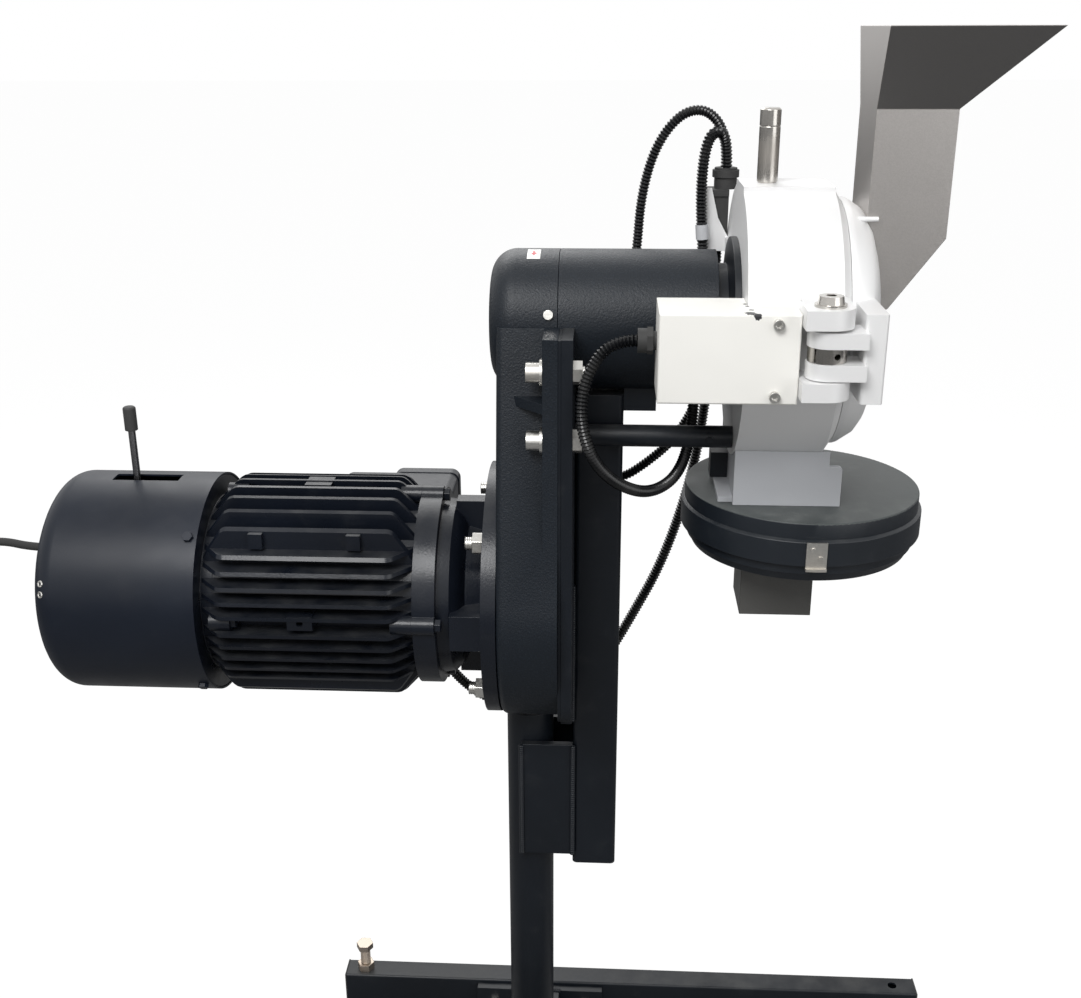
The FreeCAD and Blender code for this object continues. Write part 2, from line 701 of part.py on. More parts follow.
def door():
    """Round door with its hinge arm and lugs, the fixed grinding disc and the small stop stud."""
    disc = turned(door_profile(), x="door_start", z="spindle_height")
    arm_left = "hinge_x + arm_reach"
    leaf = hinge_levels()
    arm = block(arm_left, "arm_front", "spindle_height + arm_bottom", "arm_length", "arm_depth",
                "arm_top - arm_bottom")
    arm = rounded(arm, 3, lambda edge: lengthwise(edge, Vector(0, 0, 1)) and edge.CenterOfMass.y < -150)
    lugs = []
    for bottom, top in leaf[1:3]:
        height = f"({top}) - ({bottom})"
        z = f"spindle_height + ({bottom})"
        lugs.append(rod("lug_radius", height, "hinge_x", "hinge_y", z))
        lugs.append(block("hinge_x", "hinge_y - lug_radius", z, "arm_reach + 2", "2 * lug_radius", height))
    running = rod("hinge_pin + shaft_gap", 200, "hinge_x", "hinge_y", "spindle_height - 100")
    stud = rod(2.4, 12, "door_start + door_depth - 8", 0, "spindle_height + 92", "X")
    keep("mill_door", cut(union(disc, arm, stud, *lugs), running, feed_hole()))


def teeth(body, base_face, start, length, direction):
    """Ring of radial teeth on a grinding disc, patterned about the disc's axis."""
    sketch = outline(body, "YZ_Plane", box_corners(start, f"({start}) + ({length})", "-tooth_width / 2",
                                                   "tooth_width / 2"), offset=base_face)
    tooth = body.newObject("PartDesign::Pad", "Tooth")
    tooth.Profile = sketch
    tooth.Reversed = direction < 0
    bind(tooth, "Length", "tooth_height + 2")
    doc.recompute()
    ring = body.newObject("PartDesign::PolarPattern", "Teeth")
    ring.Originals = [tooth]
    ring.Axis = (sketch, ["V_Axis"])
    axis = [feature for feature in body.Origin.OriginFeatures if feature.Role == "X_Axis"][0]
    ring.Axis = (axis, [""])
    ring.Angle = 360
    ring.Occurrences = DIMENSIONS["tooth_count"]
    bind(ring, "Occurrences", "tooth_count")
    body.Tip = ring


def grinding_discs():
    """The rotating disc on the spindle and the fixed disc in the door, with facing rings of teeth."""
    face = "door_start - disc_thickness"
    fixed = turned([(0, 30), ("disc_thickness", 30), ("disc_thickness", "disc_radius"), (0, "disc_radius")])
    teeth(fixed, 2, 36, "disc_radius - 40", -1)
    put(fixed, face, 0, "spindle_height")
    keep("door_disc", cut(fixed, feed_hole()))
    back = f"{face} - tooth_height - disc_gap - disc_thickness - tooth_height"
    moving = turned([(0, "spindle_radius - 6"), ("disc_thickness", "spindle_radius - 6"),
                     ("disc_thickness", "disc_radius + 3"), (0, "disc_radius + 3")])
    teeth(moving, "disc_thickness - 2", 34, "disc_radius - 36", 1)
    put(moving, back, 0, "spindle_height")
    keep("rotor_disc", moving)


def spindle():
    """Stepped spindle shaft with a nut in front of the grinding disc, and its belt pulley."""
    face = "door_start - disc_thickness"
    back = f"({face} - tooth_height - disc_gap - disc_thickness - tooth_height)"
    start = "pulley_start - 6"
    nose = f"{back} + disc_thickness - ({start})"
    keep("spindle_shaft", turned([(0, 0), (f"{nose} + 12", 0), (f"{nose} + 12", 11),
                                  (nose, "spindle_radius - 6"),
                                  (f"{back} - ({start})", "spindle_radius - 6"),
                                  (f"{back} - ({start})", "spindle_radius"),
                                  ("pulley_width + 6", "spindle_radius"), ("pulley_width + 6", 15), (0, 15)],
                                 x=start, z="spindle_height"))
    keep("spindle_pulley", pulley("spindle_pulley_radius", 15, "spindle_height"))


def pulley(radius, bore, z):
    """Flat-faced belt pulley with two low flanges."""
    side = "(pulley_width - belt_width) / 2 - 1"
    return turned([(0, bore), ("pulley_width", bore), ("pulley_width", f"{radius} + 3"),
                   (f"pulley_width - ({side})", f"{radius} + 3"), (f"pulley_width - ({side})", radius),
                   (side, radius), (side, f"{radius} + 3"), (0, f"{radius} + 3")], x="pulley_start", z=z)


def drive_belt():
    """Belt round both pulleys, with a running gap to their faces."""
    loops = []
    for extra in ("belt_gap", "belt_gap + belt_thickness"):
        low = f"(motor_pulley_radius + {extra})"
        high = f"(spindle_pulley_radius + {extra})"
        centres = "(spindle_height - motor_height)"
        lean = f"({low} - {high}) / {centres}"
        reach = f"sqrt(1 - ({lean}) ^ 2)"
        sides = plate([(f"-{low} * {reach}", f"{low} * {lean}"), (f"{low} * {reach}", f"{low} * {lean}"),
                       (f"{high} * {reach}", f"{centres} + {high} * {lean}"),
                       (f"-{high} * {reach}", f"{centres} + {high} * {lean}")],
                      "belt_width", x="belt_start", z="motor_height")
        loops.append(union(sides, rod(low, "belt_width", "belt_start", 0, "motor_height", "X"),
                           rod(high, "belt_width", "belt_start", 0, "spindle_height", "X")))
    keep("drive_belt", cut(loops[1], loops[0]))


def hopper():
    """Sheet-metal hopper: a straight chute into the door and a mouth that flares forward and outward."""
    body = doc.addObject("PartDesign::Body", "Hopper")
    for grow, chute_type, flare_type in ((0, "PartDesign::Pad", "PartDesign::AdditiveLoft"),
                                         (1, "PartDesign::Pocket", "PartDesign::SubtractiveLoft")):
        skin = f"{grow} * sheet"
        chute = outline(body, "XZ_Plane", [
            (f"hopper_left + {skin}", f"hopper_bend + {grow}"),
            (f"hopper_left + {skin}", f"hopper_tip + {skin}"),
            (f"hopper_tip_x - {grow}", f"hopper_tip + {skin}"),
            (f"hopper_right - {skin}", f"hopper_corner + {grow}"),
            (f"hopper_right - {skin}", f"hopper_bend + {grow}")])
        feature = body.newObject(chute_type, "Chute")
        feature.Profile = chute
        feature.SideType = "Symmetric"
        bind(feature, "Length", f"2 * (hopper_half - {skin})")
        lower = outline(body, "XY_Plane", box_corners(f"hopper_left + {skin}", f"hopper_right - {skin}",
                                                      f"-(hopper_half - {skin})", f"hopper_half - {skin}"),
                        offset="hopper_bend")
        upper = outline(body, "XY_Plane", box_corners(f"hopper_left + {skin}", f"hopper_mouth_right - {skin}",
                                                      f"-(hopper_mouth_half - {skin})",
                                                      f"hopper_mouth_half - {skin}"), offset="hopper_top")
        flare = body.newObject(flare_type, "Flare")
        flare.Profile = lower
        flare.Sections = [upper]
        flare.Ruled = True
        doc.recompute()
    dome = turned(door_profile(), x="door_start", z="spindle_height")
    keep("hopper", cut(body, dome, feed_hole()))


def discharge_chute():
    """Chute from the bottom of the housing to the sieve drum, with a foot on each side."""
    outer = block("chute_start", "-chute_half", "sieve_top", "chute_length - 3", "2 * chute_half", 78)
    inner = block("chute_start + chute_wall", "-chute_half + chute_wall", "sieve_top - 1",
                  "chute_length - 3 - 2 * chute_wall", "2 * (chute_half - chute_wall)", 80)
    feet = [block(x, "-chute_half + 8", "sieve_top", "chute_foot", "2 * chute_half - 16", "chute_foot_plate")
            for x in ("chute_start - chute_foot", "chute_start + chute_length - 3")]
    drum = rod("drum_radius + 0.1", "drum_length + 2", "drum_start - 1", 0, "spindle_height", "X")
    tab = block("chute_start + chute_length - 3", "-chute_half", "sieve_top", "chute_foot - 1", 5, "chute_tab")
    tab = rounded(tab, 4, lambda edge: lengthwise(edge, Vector(0, 1, 0))
                  and edge.CenterOfMass.z > number("sieve_top + 5")
                  and edge.CenterOfMass.x > number("chute_start + chute_length"))
    keep("discharge_chute", union(cut(outer, inner, drum), *feet, tab))


def sieve_drum():
    """Flat round sieve drum: lid, band, pan with a step, spout, and the clip that holds the pan."""
    way = block("chute_start + chute_wall", "-chute_half + chute_wall", "sieve_top - 20",
                "chute_length - 3 - 2 * chute_wall", "2 * (chute_half - chute_wall)", 30)
    lid = rod("lid_radius", "lid_height", "sieve_x", 0, "sieve_top - lid_height")
    keep("drum_lid", cut(rounded(lid, 1.5, circle_at("z", "sieve_top", "lid_radius")), way))
    band_base = "sieve_top - lid_height - band_height"
    keep("drum_band", turned([(0, "lid_radius - 6"), ("band_height", "lid_radius - 6"),
                              ("band_height", "lid_radius + 0.4"), ("band_height - 2", "band_radius"),
                              (0, "band_radius")], "sieve_x", 0, band_base, "Z"))
    pan = turned([(0, 0), (0, "pan_radius - 5"), (8, "pan_radius - 1"), (8, "pan_radius"),
                  ("pan_height", "pan_radius"), ("pan_height", "pan_radius - 7"), (5, "pan_radius - 7"), (5, 0)],
                 "sieve_x", 0, f"{band_base} - pan_height", "Z")
    drop = block("spout_start + 3", "-spout_half + 3", f"{band_base} - pan_height - 5", "spout_length - 6",
                 "2 * spout_half - 6", 20)
    keep("drum_pan", cut(pan, drop))
    top = f"{band_base} - pan_height"
    spout = block("spout_start", "-spout_half", "spout_bottom", "spout_length", "2 * spout_half",
                  f"{top} - spout_bottom")
    bore = block("spout_start + 3", "-spout_half + 3", "spout_bottom - 1", "spout_length - 6",
                 "2 * spout_half - 6", f"{top} - spout_bottom + 2")
    keep("outlet_spout", cut(spout, bore))
    left = "sieve_x - 9"
    strap = shared(cut(rod("band_radius + 2.1", "band_height + 3", "sieve_x", 0, f"{band_base} - 3"),
                       rod("band_radius + 0.1", "band_height + 3", "sieve_x", 0, f"{band_base} - 3")),
                   block(left, -130, f"{band_base} - 3", 18.5, 130, "band_height + 2"))
    lip = shared(cut(rod("band_radius + 4.5", 2.5, "sieve_x", 0, f"{band_base} - 3"),
                     rod("pan_radius + 0.3", 2.5, "sieve_x", 0, f"{band_base} - 3")),
                 block(left, -130, f"{band_base} - 3", 18.5, 130, 2.6))
    rivets = [rod(2.2, 2.3, f"{left} + {x}", "-band_radius - 3.4", f"{band_base} + {z}", "Y")
              for x, z in ((6, 17), (13, 9))]
    keep("pan_clip", union(strap, lip, *rivets))


def rod_supports():
    """Horizontal support rod under the spindle and the block beside the chute."""
    reach = "drum_start - beam_start - 0.2"
    bar = rod("rod_radius", reach, "beam_start", "rod_y", "rod_height", "X")
    screw = rod(3, 3, 162.5, "rod_y - rod_radius - 1.5", "rod_height", "Y")
    foot = block("chute_start - 16.5", -3, "sieve_top + chute_foot_plate", 16.5, 20, 25)
    keep("support_rod", loose(union(bar, screw), foot))


def motor_frame():
    """Finned motor frame: upright fins above and below, level fins at the sides, sloped at both ends."""
    start = "frame_start - fin_overhang"
    length = "frame_length + fin_overhang"
    envelope = turned([(0, 0), (length, 0), (length, "frame_radius + 1"), (f"{length} - fin_slope", "fin_radius"),
                       ("fin_slope", "fin_radius"), (0, "frame_radius + 1")], x=start, z="motor_height")
    for place in (f"{start} + fin_slope", f"{start} + {length} - fin_slope"):
        envelope = rounded(envelope, "fin_corner", circle_at("x", place, "fin_radius"))
    fins = []
    for step in range(-4, 5):
        fins.append(block(start, f"{step} * fin_pitch_top - fin_thickness / 2", "motor_height - fin_radius",
                          length, "fin_thickness", "2 * fin_radius"))
    for step in range(5):
        for side in (-1, 1):
            height = f"{side} * ({step} + 2 / 3) * fin_pitch_side - fin_thickness / 2"
            fins.append(block(start, "-fin_radius", f"motor_height + {height}", length, "2 * fin_radius",
                              "fin_thickness"))
    ribbed = shared(union(*fins), envelope)
    core = rod("frame_radius", "frame_length", "frame_start", 0, "motor_height", "X")
    boss = block(-228, "-fin_radius + 1", "motor_height - 2", 24, 20, 14)
    boss_hole = rod(3.2, 20, -216, "-fin_radius", "motor_height + 5", "Y")
    pads = [block(x, -78, "motor_height + 67", 13, 18, 15) for x in (-267, -174)]
    eye = block(-226, -12, "motor_height + fin_radius - 16", 26, 24, 15)
    box_pad = block("terminal_start + 12", "frame_radius - 12", "motor_height - 42", "terminal_length - 30",
                    "fin_radius + 3 - frame_radius + 12", 84)
    lugs = [rod(9, 20, x, y, z, "X") for x in ("frame_start", "frame_start + frame_length - 20")
            for y, z in cross_places(96)]
    bore = rod("frame_bore", "frame_length + 2", "frame_start - 1", 0, "motor_height", "X")
    nut_pockets = [rod(8.5, 8, "frame_start + 20", y, z, "X") for y, z in cross_places(97)]
    shield_way = rod("frame_radius + 0.3", "fin_overhang", start, 0, "motor_height", "X")
    solid = union(ribbed, core, cut(boss, boss_hole), eye, box_pad, *pads, *lugs)
    keep("motor_frame", cut(solid, bore, shield_way, *nut_pockets))


def cross_places(radius):
    """Side and height of the four places above, below and beside the motor axis."""
    return [(0, f"motor_height + {radius}"), (0, f"motor_height - {radius}"), (f"-{radius}", "motor_height"),
            (radius, "motor_height")]


def end_shields():
    """Front shield with its bell, webs and flange, and the rear shield that carries cowl and brake."""
    front = "frame_start + frame_length"
    bell = "shield_depth + bell_depth"
    face = f"motor_flange_start - ({front})"
    solid = turned([(0, 40), (20, 40), (20, "motor_shaft + 4"), (f"{face} + motor_flange_depth", "motor_shaft + 4"),
                    (f"{face} + motor_flange_depth", "motor_flange_radius"), (face, "motor_flange_radius"),
                    (face, "throat_radius"), (bell, "throat_radius + 5"), (f"{bell} - 5", "bell_radius - 10"),
                    ("shield_depth + 12", "bell_radius - 2"), ("shield_depth", "bell_radius"),
                    ("shield_depth", "shield_radius"), (0, "shield_radius")], x=front, z="motor_height")
    reach = f"({face}) - ({bell}) + 12"
    webs = []
    for start_y, start_z, width, height in ((-93, "motor_height - 28", 186, 36), (-9, "motor_height - 93", 18, 186)):
        webs.append(block(f"{front} + {bell} - 12", start_y, start_z, reach, width, height))
    core = rod("motor_shaft + 4", 80, front, 0, "motor_height", "X")
    lugs = [rod(9, "shield_depth", front, y, z, "X") for y, z in cross_places(96)]
    studs = [rod(6.5, 40, "motor_flange_start - 10", y, z, "X") for y, z in flange_stud_places()]
    seat = rod(40, 20, front, 0, "motor_height", "X")
    keep("motor_end_shield", cut(union(solid, *webs, *lugs), core, seat, *studs))
    keep("motor_rear_shield", turned([(0, 21), (12, 21), (12, 40), (28, 40), (28, 50), (22, 50),
                                      (22, "frame_radius"), (10, "frame_radius"), (10, "cowl_radius - 2.4"),
                                      (0, "cowl_radius - 2.4")], x="frame_start - 22", z="motor_height"))


def flange_stud_places():
    """Side and height of the four flange studs, on the diagonals."""
    offset = "flange_bolt_circle * sqrt(2) / 2"
    return [(f"{side} * {offset}", f"motor_height + {up} * {offset}") for side in (-1, 1) for up in (-1, 1)]


def motor_fasteners():
    """Screws of both end shields and the studs with nuts of the flange."""
    pieces = []
    for y, z in cross_places(96):
        pieces.append(hexagon(6.5, 6, "frame_start + frame_length + shield_depth", y, z, "X"))
        pieces.append(hexagon(6.5, 5, "frame_start + 20", y, z, "X"))
    for y, z in flange_stud_places():
        shank = rod(6, "motor_flange_depth + 17", "motor_flange_start - 17", y, z, "X")
        pieces.append(union(shank, hexagon(10.8, 10, "motor_flange_start - 10", y, z, "X")))
    keep("motor_fasteners", loose(*pieces))


def motor_inside():
    """Stator with its end windings, rotor on its shaft, brake magnet and fan."""
    start = "frame_start + 34"
    core = turned([(-20, 54), (0, 54), (0, "stator_bore"), (120, "stator_bore"), (120, 54), (140, 54), (140, 74),
                   (120, 74), (120, "frame_bore"), (0, "frame_bore"), (0, 74), (-20, 74)],
                  x=start, z="motor_height")
    keep("stator", core)
    rear = "frame_start - 136"
    seat = "motor_shaft + 6"
    shaft = turned([(0, 0), ("pulley_start + pulley_width - (frame_start - 136)", 0),
                    ("pulley_start + pulley_width - (frame_start - 136)", "motor_shaft"),
                    (348, "motor_shaft"), (348, seat), (291, seat), (291, "rotor_radius"), (169, "rotor_radius"),
                    (169, seat), (126, seat), (126, "motor_shaft"), (104, "motor_shaft"), (104, 72), (94, 72),
                    (94, "motor_shaft"), (0, "motor_shaft")], x=rear, z="motor_height")
    keep("motor_rotor", shaft)
    magnet = turned([(0, 30), (40, 30), (40, 60), (34, 60), (34, 70), (40, 70), (40, 84), (0, 84)],
                    x="frame_start - 86", z="motor_height")
    spacers = [rod(4.5, 24, "frame_start - 46", y, z, "X") for y, z in cross_places(79)]
    ears = [block("frame_start - 101", y, "motor_height + 28", 14, 5, 22) for y in (-18, 13)]
    pivot = rod(3.05, 60, "lever_x", -30, "motor_height + lever_pivot", "Y")
    keep("brake_magnet", cut(union(magnet, *spacers, *ears), pivot))
    hub = rod(27, 20, "frame_start - 154", 0, "motor_height", "X")
    blades = [put(block(0, 0, 0, 18, 3, 172), "frame_start - 153", 0, "motor_height") for _ in range(3)]
    for step, blade in enumerate(blades):
        angle = 60 * step
        blade.Placement.Rotation = Rotation(Vector(1, 0, 0), angle)
        bind(blade, "Placement.Base.y", f"86 * sin({angle} deg) - 1.5 * cos({angle} deg)")
        bind(blade, "Placement.Base.z", f"motor_height - 86 * cos({angle} deg) - 1.5 * sin({angle} deg)")
    fan_bore = rod("motor_shaft", 40, "frame_start - 160", 0, "motor_height", "X")
    keep("cooling_fan", cut(union(hub, *blades), fan_bore))
    keep("motor_pulley", pulley("motor_pulley_radius", "motor_shaft", "motor_height"))


def fan_cowl():
    """Pressed cowl with a rounded rear edge, air slots in its back and a slot for the brake lever."""
    outer = rod("cowl_radius", "cowl_length", "cowl_start", 0, "motor_height", "X")
    outer = rounded(outer, "cowl_edge", circle_at("x", "cowl_start", "cowl_radius"))
    inner = rod("cowl_radius - cowl_sheet", "cowl_length", "cowl_start + cowl_sheet", 0, "motor_height", "X")
    inner = rounded(inner, "cowl_edge - cowl_sheet", circle_at("x", "cowl_start + cowl_sheet",
                                                               "cowl_radius - cowl_sheet"))
    slot = block("slot_start", "-slot_half", "motor_height + cowl_radius / 2", "slot_length", "2 * slot_half",
                 "cowl_radius")
    air = []
    for step in range(-4, 5):
        half = f"sqrt(76 ^ 2 - ({step} * 15) ^ 2)"
        if step == 0:
            continue
        air.append(block("cowl_start - 5", f"{step} * 15 - 3", f"motor_height - ({half})", 20, 6, f"2 * ({half})"))
    gland = rod(8, 20, "cowl_start - 5", 0, "motor_height + 32", "X")
    keep("fan_cowl", cut(outer, inner, slot, gland, *air))


def brake_lever():
    """Hand release lever of the brake: hub, stem through the cowl's slot, and its grip."""
    centre = "motor_height + lever_pivot"
    hub = rod(6, 25, "lever_x", -12.5, centre, "Y")
    axle = rod(3, 36, "lever_x", -18, centre, "Y")
    stem = rod("lever_radius", 846 - 727.5, "lever_x", 0, centre)
    keep("brake_lever", union(hub, axle, stem))
    grip = rounded(rod(6.2, 24, "lever_x", 0, 846), 2.5, circle_at("z", 870, 6.2))
    keep("lever_grip", grip)


def terminal_box():
    """Terminal box at the rear side of the motor, with a lid and the gland of the motor's conduit."""
    low = "motor_height - terminal_half"
    base = block("terminal_start", "fin_radius + 3", low, "terminal_length", "terminal_depth - 16",
                 "2 * terminal_half")
    lid = block("terminal_start + terminal_lid", "fin_radius + 3 + terminal_depth - 16", f"{low} - 1",
                "terminal_length + 1 - terminal_lid", 14, "2 * terminal_half + 2")
    sideways = Vector(0, 1, 0)
    base = rounded(base, 10, lambda edge: lengthwise(edge, sideways))
    lid = rounded(lid, 10, lambda edge: lengthwise(edge, sideways))
    entry = rod(9, 12, "terminal_start + terminal_entry", "fin_radius + 24.5", f"{low} - 12")
    keep("terminal_box", loose(union(base, entry), lid))


def switch_box():
    """Switch box in front of the bearing tube, shaped round the drum, with its conduit gland."""
    body = block("box_start", "box_front", "box_bottom", "box_length", "box_back - box_front", "box_height")
    body = rounded(body, 2, lambda edge: abs(edge.CenterOfMass.y - number("box_front")) < 0.01)
    drum = rod("drum_radius + 0.3", 100, "drum_start - 0.3", 0, "spindle_height", "X")
    keep("switch_box", cut(body, drum))
    clamp = rod(10.5, 8, "box_start - 16", -110, 966, "X")
    nut = hexagon(12, 5, "box_start - 8", -110, 966, "X")
    stem = rod(8, 3, "box_start - 3", -110, 966, "X")
    keep("conduit_gland", union(clamp, nut, stem))


def cover_screws():
    """Small screws of the switch box, the cap and the cowl."""
    pieces = []
    for x, z in ((205, 990), (205, 930)):
        head = rod(4.6, 4.6, x, "box_front - 4.6", z, "Y")
        pieces.append(cut(head, hexagon(2.6, 3, x, "box_front - 5", z, "Y")))
    for side, turn in ((-1, 75), (1, -75)):
        pieces.append(put(rod(4.4, 2.6), 15, f"-tube_radius * sin({turn} deg)",
                          f"spindle_height + tube_radius * cos({turn} deg)", (1, 0, 0), turn))
    for turn in (45, 135, -45, -135):
        pieces.append(put(hexagon(5.2, 4, 0, 0, 0), "cowl_start + 150", f"-cowl_radius * sin({turn} deg)",
                          f"motor_height + cowl_radius * cos({turn} deg)", (1, 0, 0), turn))
    keep("cover_screws", loose(*pieces))


def rear_switch():
    """Door switch behind the head with its connector, and the bracket that holds it."""
    body = block(165, 99, 1015, 18, 28, 51)
    ridge = block(163, 97, 1060, 20, 32, 6)
    plug = rod(11, 20, 180, 112, 1066)
    collar = rod(13, 7, 180, 112, 1077)
    entries = [rod(7, 8, 174, y, 1007) for y in (105, 120.5)]
    keep("rear_switch", union(body, ridge, plug, collar, *entries))
    arm = plate([(162, 1008), (183, 1008), (183, 1022), (173, 1040), (166, 1068), (160, 1068)], 2.6, "XZ_Plane",
                y=96.8)
    foot = block("drum_start - 3", 62, 1008, 3, 32.3, 14)
    keep("switch_bracket", union(arm, foot))


def tangent_path(points):
    """Straight runs joined by the largest tangent arcs that the runs allow, and the arcs' radii."""
    edges = []
    radii = []
    start = points[0]
    for before, corner, after in zip(points, points[1:], points[2:]):
        incoming = (corner - before).normalize()
        outgoing = (after - corner).normalize()
        turn = math.acos(max(-1.0, min(1.0, incoming.dot(outgoing))))
        reach = 0.45 * min((corner - before).Length, (after - corner).Length)
        first = corner - incoming * reach
        last = corner + outgoing * reach
        radius = reach / math.tan(turn / 2)
        centre = corner + (outgoing - incoming).normalize() * (radius / math.cos(turn / 2))
        middle = centre + (corner - centre).normalize() * radius
        edges.append(Part.LineSegment(start, first).toShape())
        edges.append(Part.Arc(first, middle, last).toShape())
        radii.append(radius)
        start = last
    edges.append(Part.LineSegment(start, points[-1]).toShape())
    return Part.Wire(edges), radii


def tube_along(path, radius, name):
    """Solid round tube along a smooth path, with its volume compared with section times length."""
    start = path.Edges[0]
    direction = start.tangentAt(start.FirstParameter)
    point = start.valueAt(start.FirstParameter)
    section = Part.Wire(Part.Circle(point, direction, radius).toShape())
    solid = path.makePipeShell([section], True, False)
    ratio = solid.Volume / (math.pi * radius ** 2 * path.Length)
    print(f"{name}: length {path.Length:.0f} mm, volume ratio {ratio:.4f}")
    return solid


def routed(node, points, radius):
    """Sub-part made of a tube along a hand-chosen route."""
    path, radii = tangent_path([Vector(*point) for point in points])
    print(f"{node}: smallest arc {min(radii) / (2 * radius):.1f} diameters")
    item = doc.addObject("Part::Feature", "Route")
    item.Shape = tube_along(path, radius, node)
    return keep(node, item)


FRONT_ROUTE = [(93, -110, 966), (70, -110, 966), (49, -117, 936), (45, -121, 899), (55, -116, 861),
               (78, -86, 827), (110, -46, 804), (139, -8, 811), (152, 32, 845), (154, 66, 888),
               (158, 85, 940), (160, 87, 1000), (155, 87, 1055), (156, 90, 1095), (162, 95, 1118),
               (174, 102, 1122), (180, 106.5, 1105), (180, 106.5, 1086)]
REAR_ROUTE = [(180, 117.5, 1086), (180, 117.5, 1107), (172, 113, 1129), (154, 106, 1142), (131, 100, 1135),
              (110, 97, 1106), (98, 95, 1062), (95, 94, 1010), (90, 97, 955), (78, 100, 900), (66, 98, 850),
              (60, 87, 808), (64, 69, 783), (84, 59, 782), (110, 63, 799), (136, 74, 819), (158, 90, 851),
              (170, 102, 897), (174, 105, 952), (174, 105, 1007)]
MOTOR_ROUTE = [(-128, 134, 613.5), (-128, 134, 584), (-112, 104, 548), (-84, 78, 530), (-52, 65, 518),
               (-15, 60, 510), (22, 60, 521), (54, 61, 551), (80, 62, 592), (102, 69, 632), (123, 80, 669),
               (142, 96, 714), (158, 110, 767), (168, 117, 826), (173, 120, 888), (174, 120.5, 950),
               (174, 120.5, 1007)]
SUPPLY_ROUTE = [(-486, 0, 719.5), (-514, 0, 719.5), (-545, -1, 727), (-575, -3, 722), (-596, -8, 696),
                (-606, -14, 650), (-610, -22, 590), (-613, -34, 515), (-615, -48, 435), (-617, -62, 350),
                (-618, -76, 265), (-618, -88, 180), (-617, -93, 105), (-613, -82, 46), (-603, -58, 12),
                (-593.5, -32, 4.3), (-593.5, -8.5, 4.3)]


def conduits():
    """Conduits that the machine holds all the way."""
    routed("front_conduit", FRONT_ROUTE, number("conduit_radius"))
    routed("rear_conduit", REAR_ROUTE, number("cable_radius"))
    routed("motor_conduit", MOTOR_ROUTE, number("conduit_radius"))


def biarc(start, heading, end, leaving):
    """Two tangent arcs from one point and direction to another."""
    chord = end - start
    both = heading + leaving
    spread = 2 * (1 - heading.dot(leaving))
    push = chord.dot(both)
    if spread < 1e-9:
        size = chord.Length / 2
    else:
        size = (-push + math.sqrt(push ** 2 + spread * chord.dot(chord))) / spread
    joint = (start + heading * size + end - leaving * size) / 2
    edges = []
    for first, way, last in ((start, heading, joint), (end, leaving * -1, joint)):
        line = last - first
        forward = line.dot(way)
        side = (line - way * forward)
        sagitta_way = (side.normalize() if side.Length > 1e-9 else side)
        half = line.Length / 2
        turn = math.atan2((line - way * forward).Length, forward)
        middle = first + line / 2 + (way * math.sin(turn) - sagitta_way * math.cos(turn)) * (
            half * math.tan(turn / 2))
        edges.append(Part.Arc(first, middle, last).toShape())
    return edges


def coil_point(turn):
    """Centre line of the coil after a number of turns: in, out, in and out again, a layer higher each time."""
    turns = number("coil_turns")
    layer = min(int(turn / (turns + 0.5)), int(number("coil_layers")) - 1)
    within = turn - layer * (turns + 0.5)
    run = min(within, turns)
    wound = run if layer % 2 == 0 else turns - run
    rise = (1 - math.cos(2 * math.pi * max(0.0, within - turns))) / 2
    radius = number("coil_outer") - number("coil_pitch") * wound
    height = number("cord_radius + 0.05") + (layer + rise) * number("coil_layer")
    angle = 2 * math.pi * turn
    return Vector(number("coil_x") + radius * math.cos(angle), radius * math.sin(angle), height)


def coil_heading(turn):
    """Direction of the coil's centre line."""
    step = 1e-4
    return (coil_point(turn + step) - coil_point(turn - step)).normalize()


def supply_cord():
    """Supply cord: gland in the cowl, drop to the floor, the coil that is left over, and the plug."""
    gland = turned([(0, 4.6), (22, 4.6), (22, 11), (14.3, 11), (14.3, 7.8), (11.7, 7.8), (11.7, 11), (6, 11),
                    (4, 8.5), (0, 8.5)],
                   x="cowl_start - 12", z="motor_height + 32")
    keep("cable_gland", gland)
    routed("supply_cable", SUPPLY_ROUTE, number("cord_radius"))
    total = number("coil_turns * coil_layers + (coil_layers - 1) * 0.5")
    marks = [0.5 * i for i in range(int(2 * total) + 1)]
    points = [coil_point(mark) for mark in marks]
    headings = [coil_heading(mark) for mark in marks]
    headings[0] = Vector(0, 1, 0)
    headings[-1] = Vector(0, -1, 0)
    straight = headings[0] * number("2 * cord_radius")
    edges = [Part.LineSegment(points[0] - straight, points[0]).toShape()]
    for i in range(len(points) - 1):
        edges += biarc(points[i], headings[i], points[i + 1], headings[i + 1])
    tail = headings[-1] * number("2 * cord_radius")
    edges.append(Part.LineSegment(points[-1], points[-1] + tail).toShape())
    path = Part.Wire(edges)
    item = doc.addObject("Part::Feature", "Coil")
    item.Shape = tube_along(path, number("cord_radius"), "supply_coil")
    keep("supply_coil", item)
    print(f"coil: least gap to itself {least_gap(path):.2f} mm")
    end = points[-1] + tail
    body = turned([(0, 5), (16, 12), (34, 14), (40, 24), (86, 24), (86, 30), (98, 30), (98, 25), (124, 25),
                   (124, 22), (96, 22), (96, 0), (0, 0)])
    pins = [rod(2.4, 26, 96, f"13 * cos({angle} deg)", f"13 * sin({angle} deg)", "X")
            for angle in (90, 162, 234, 306, 18)]
    plug = union(body, *pins)
    plug.Placement = Placement(end, Rotation(Vector(0, 0, 1), -90))
    keep("supply_plug", plug)


def least_gap(path):
    """Smallest distance between the surfaces of a coil's turns, measured on points of its centre line."""
    points = path.discretize(Number=900)
    spacing = path.Length / 899
    skip = int(number("cord_radius") * 6 / spacing) + 1
    least = min((points[i] - points[j]).Length for i in range(0, 900, 2) for j in range(i + skip, 900, 2))
    return least - number("2 * cord_radius")


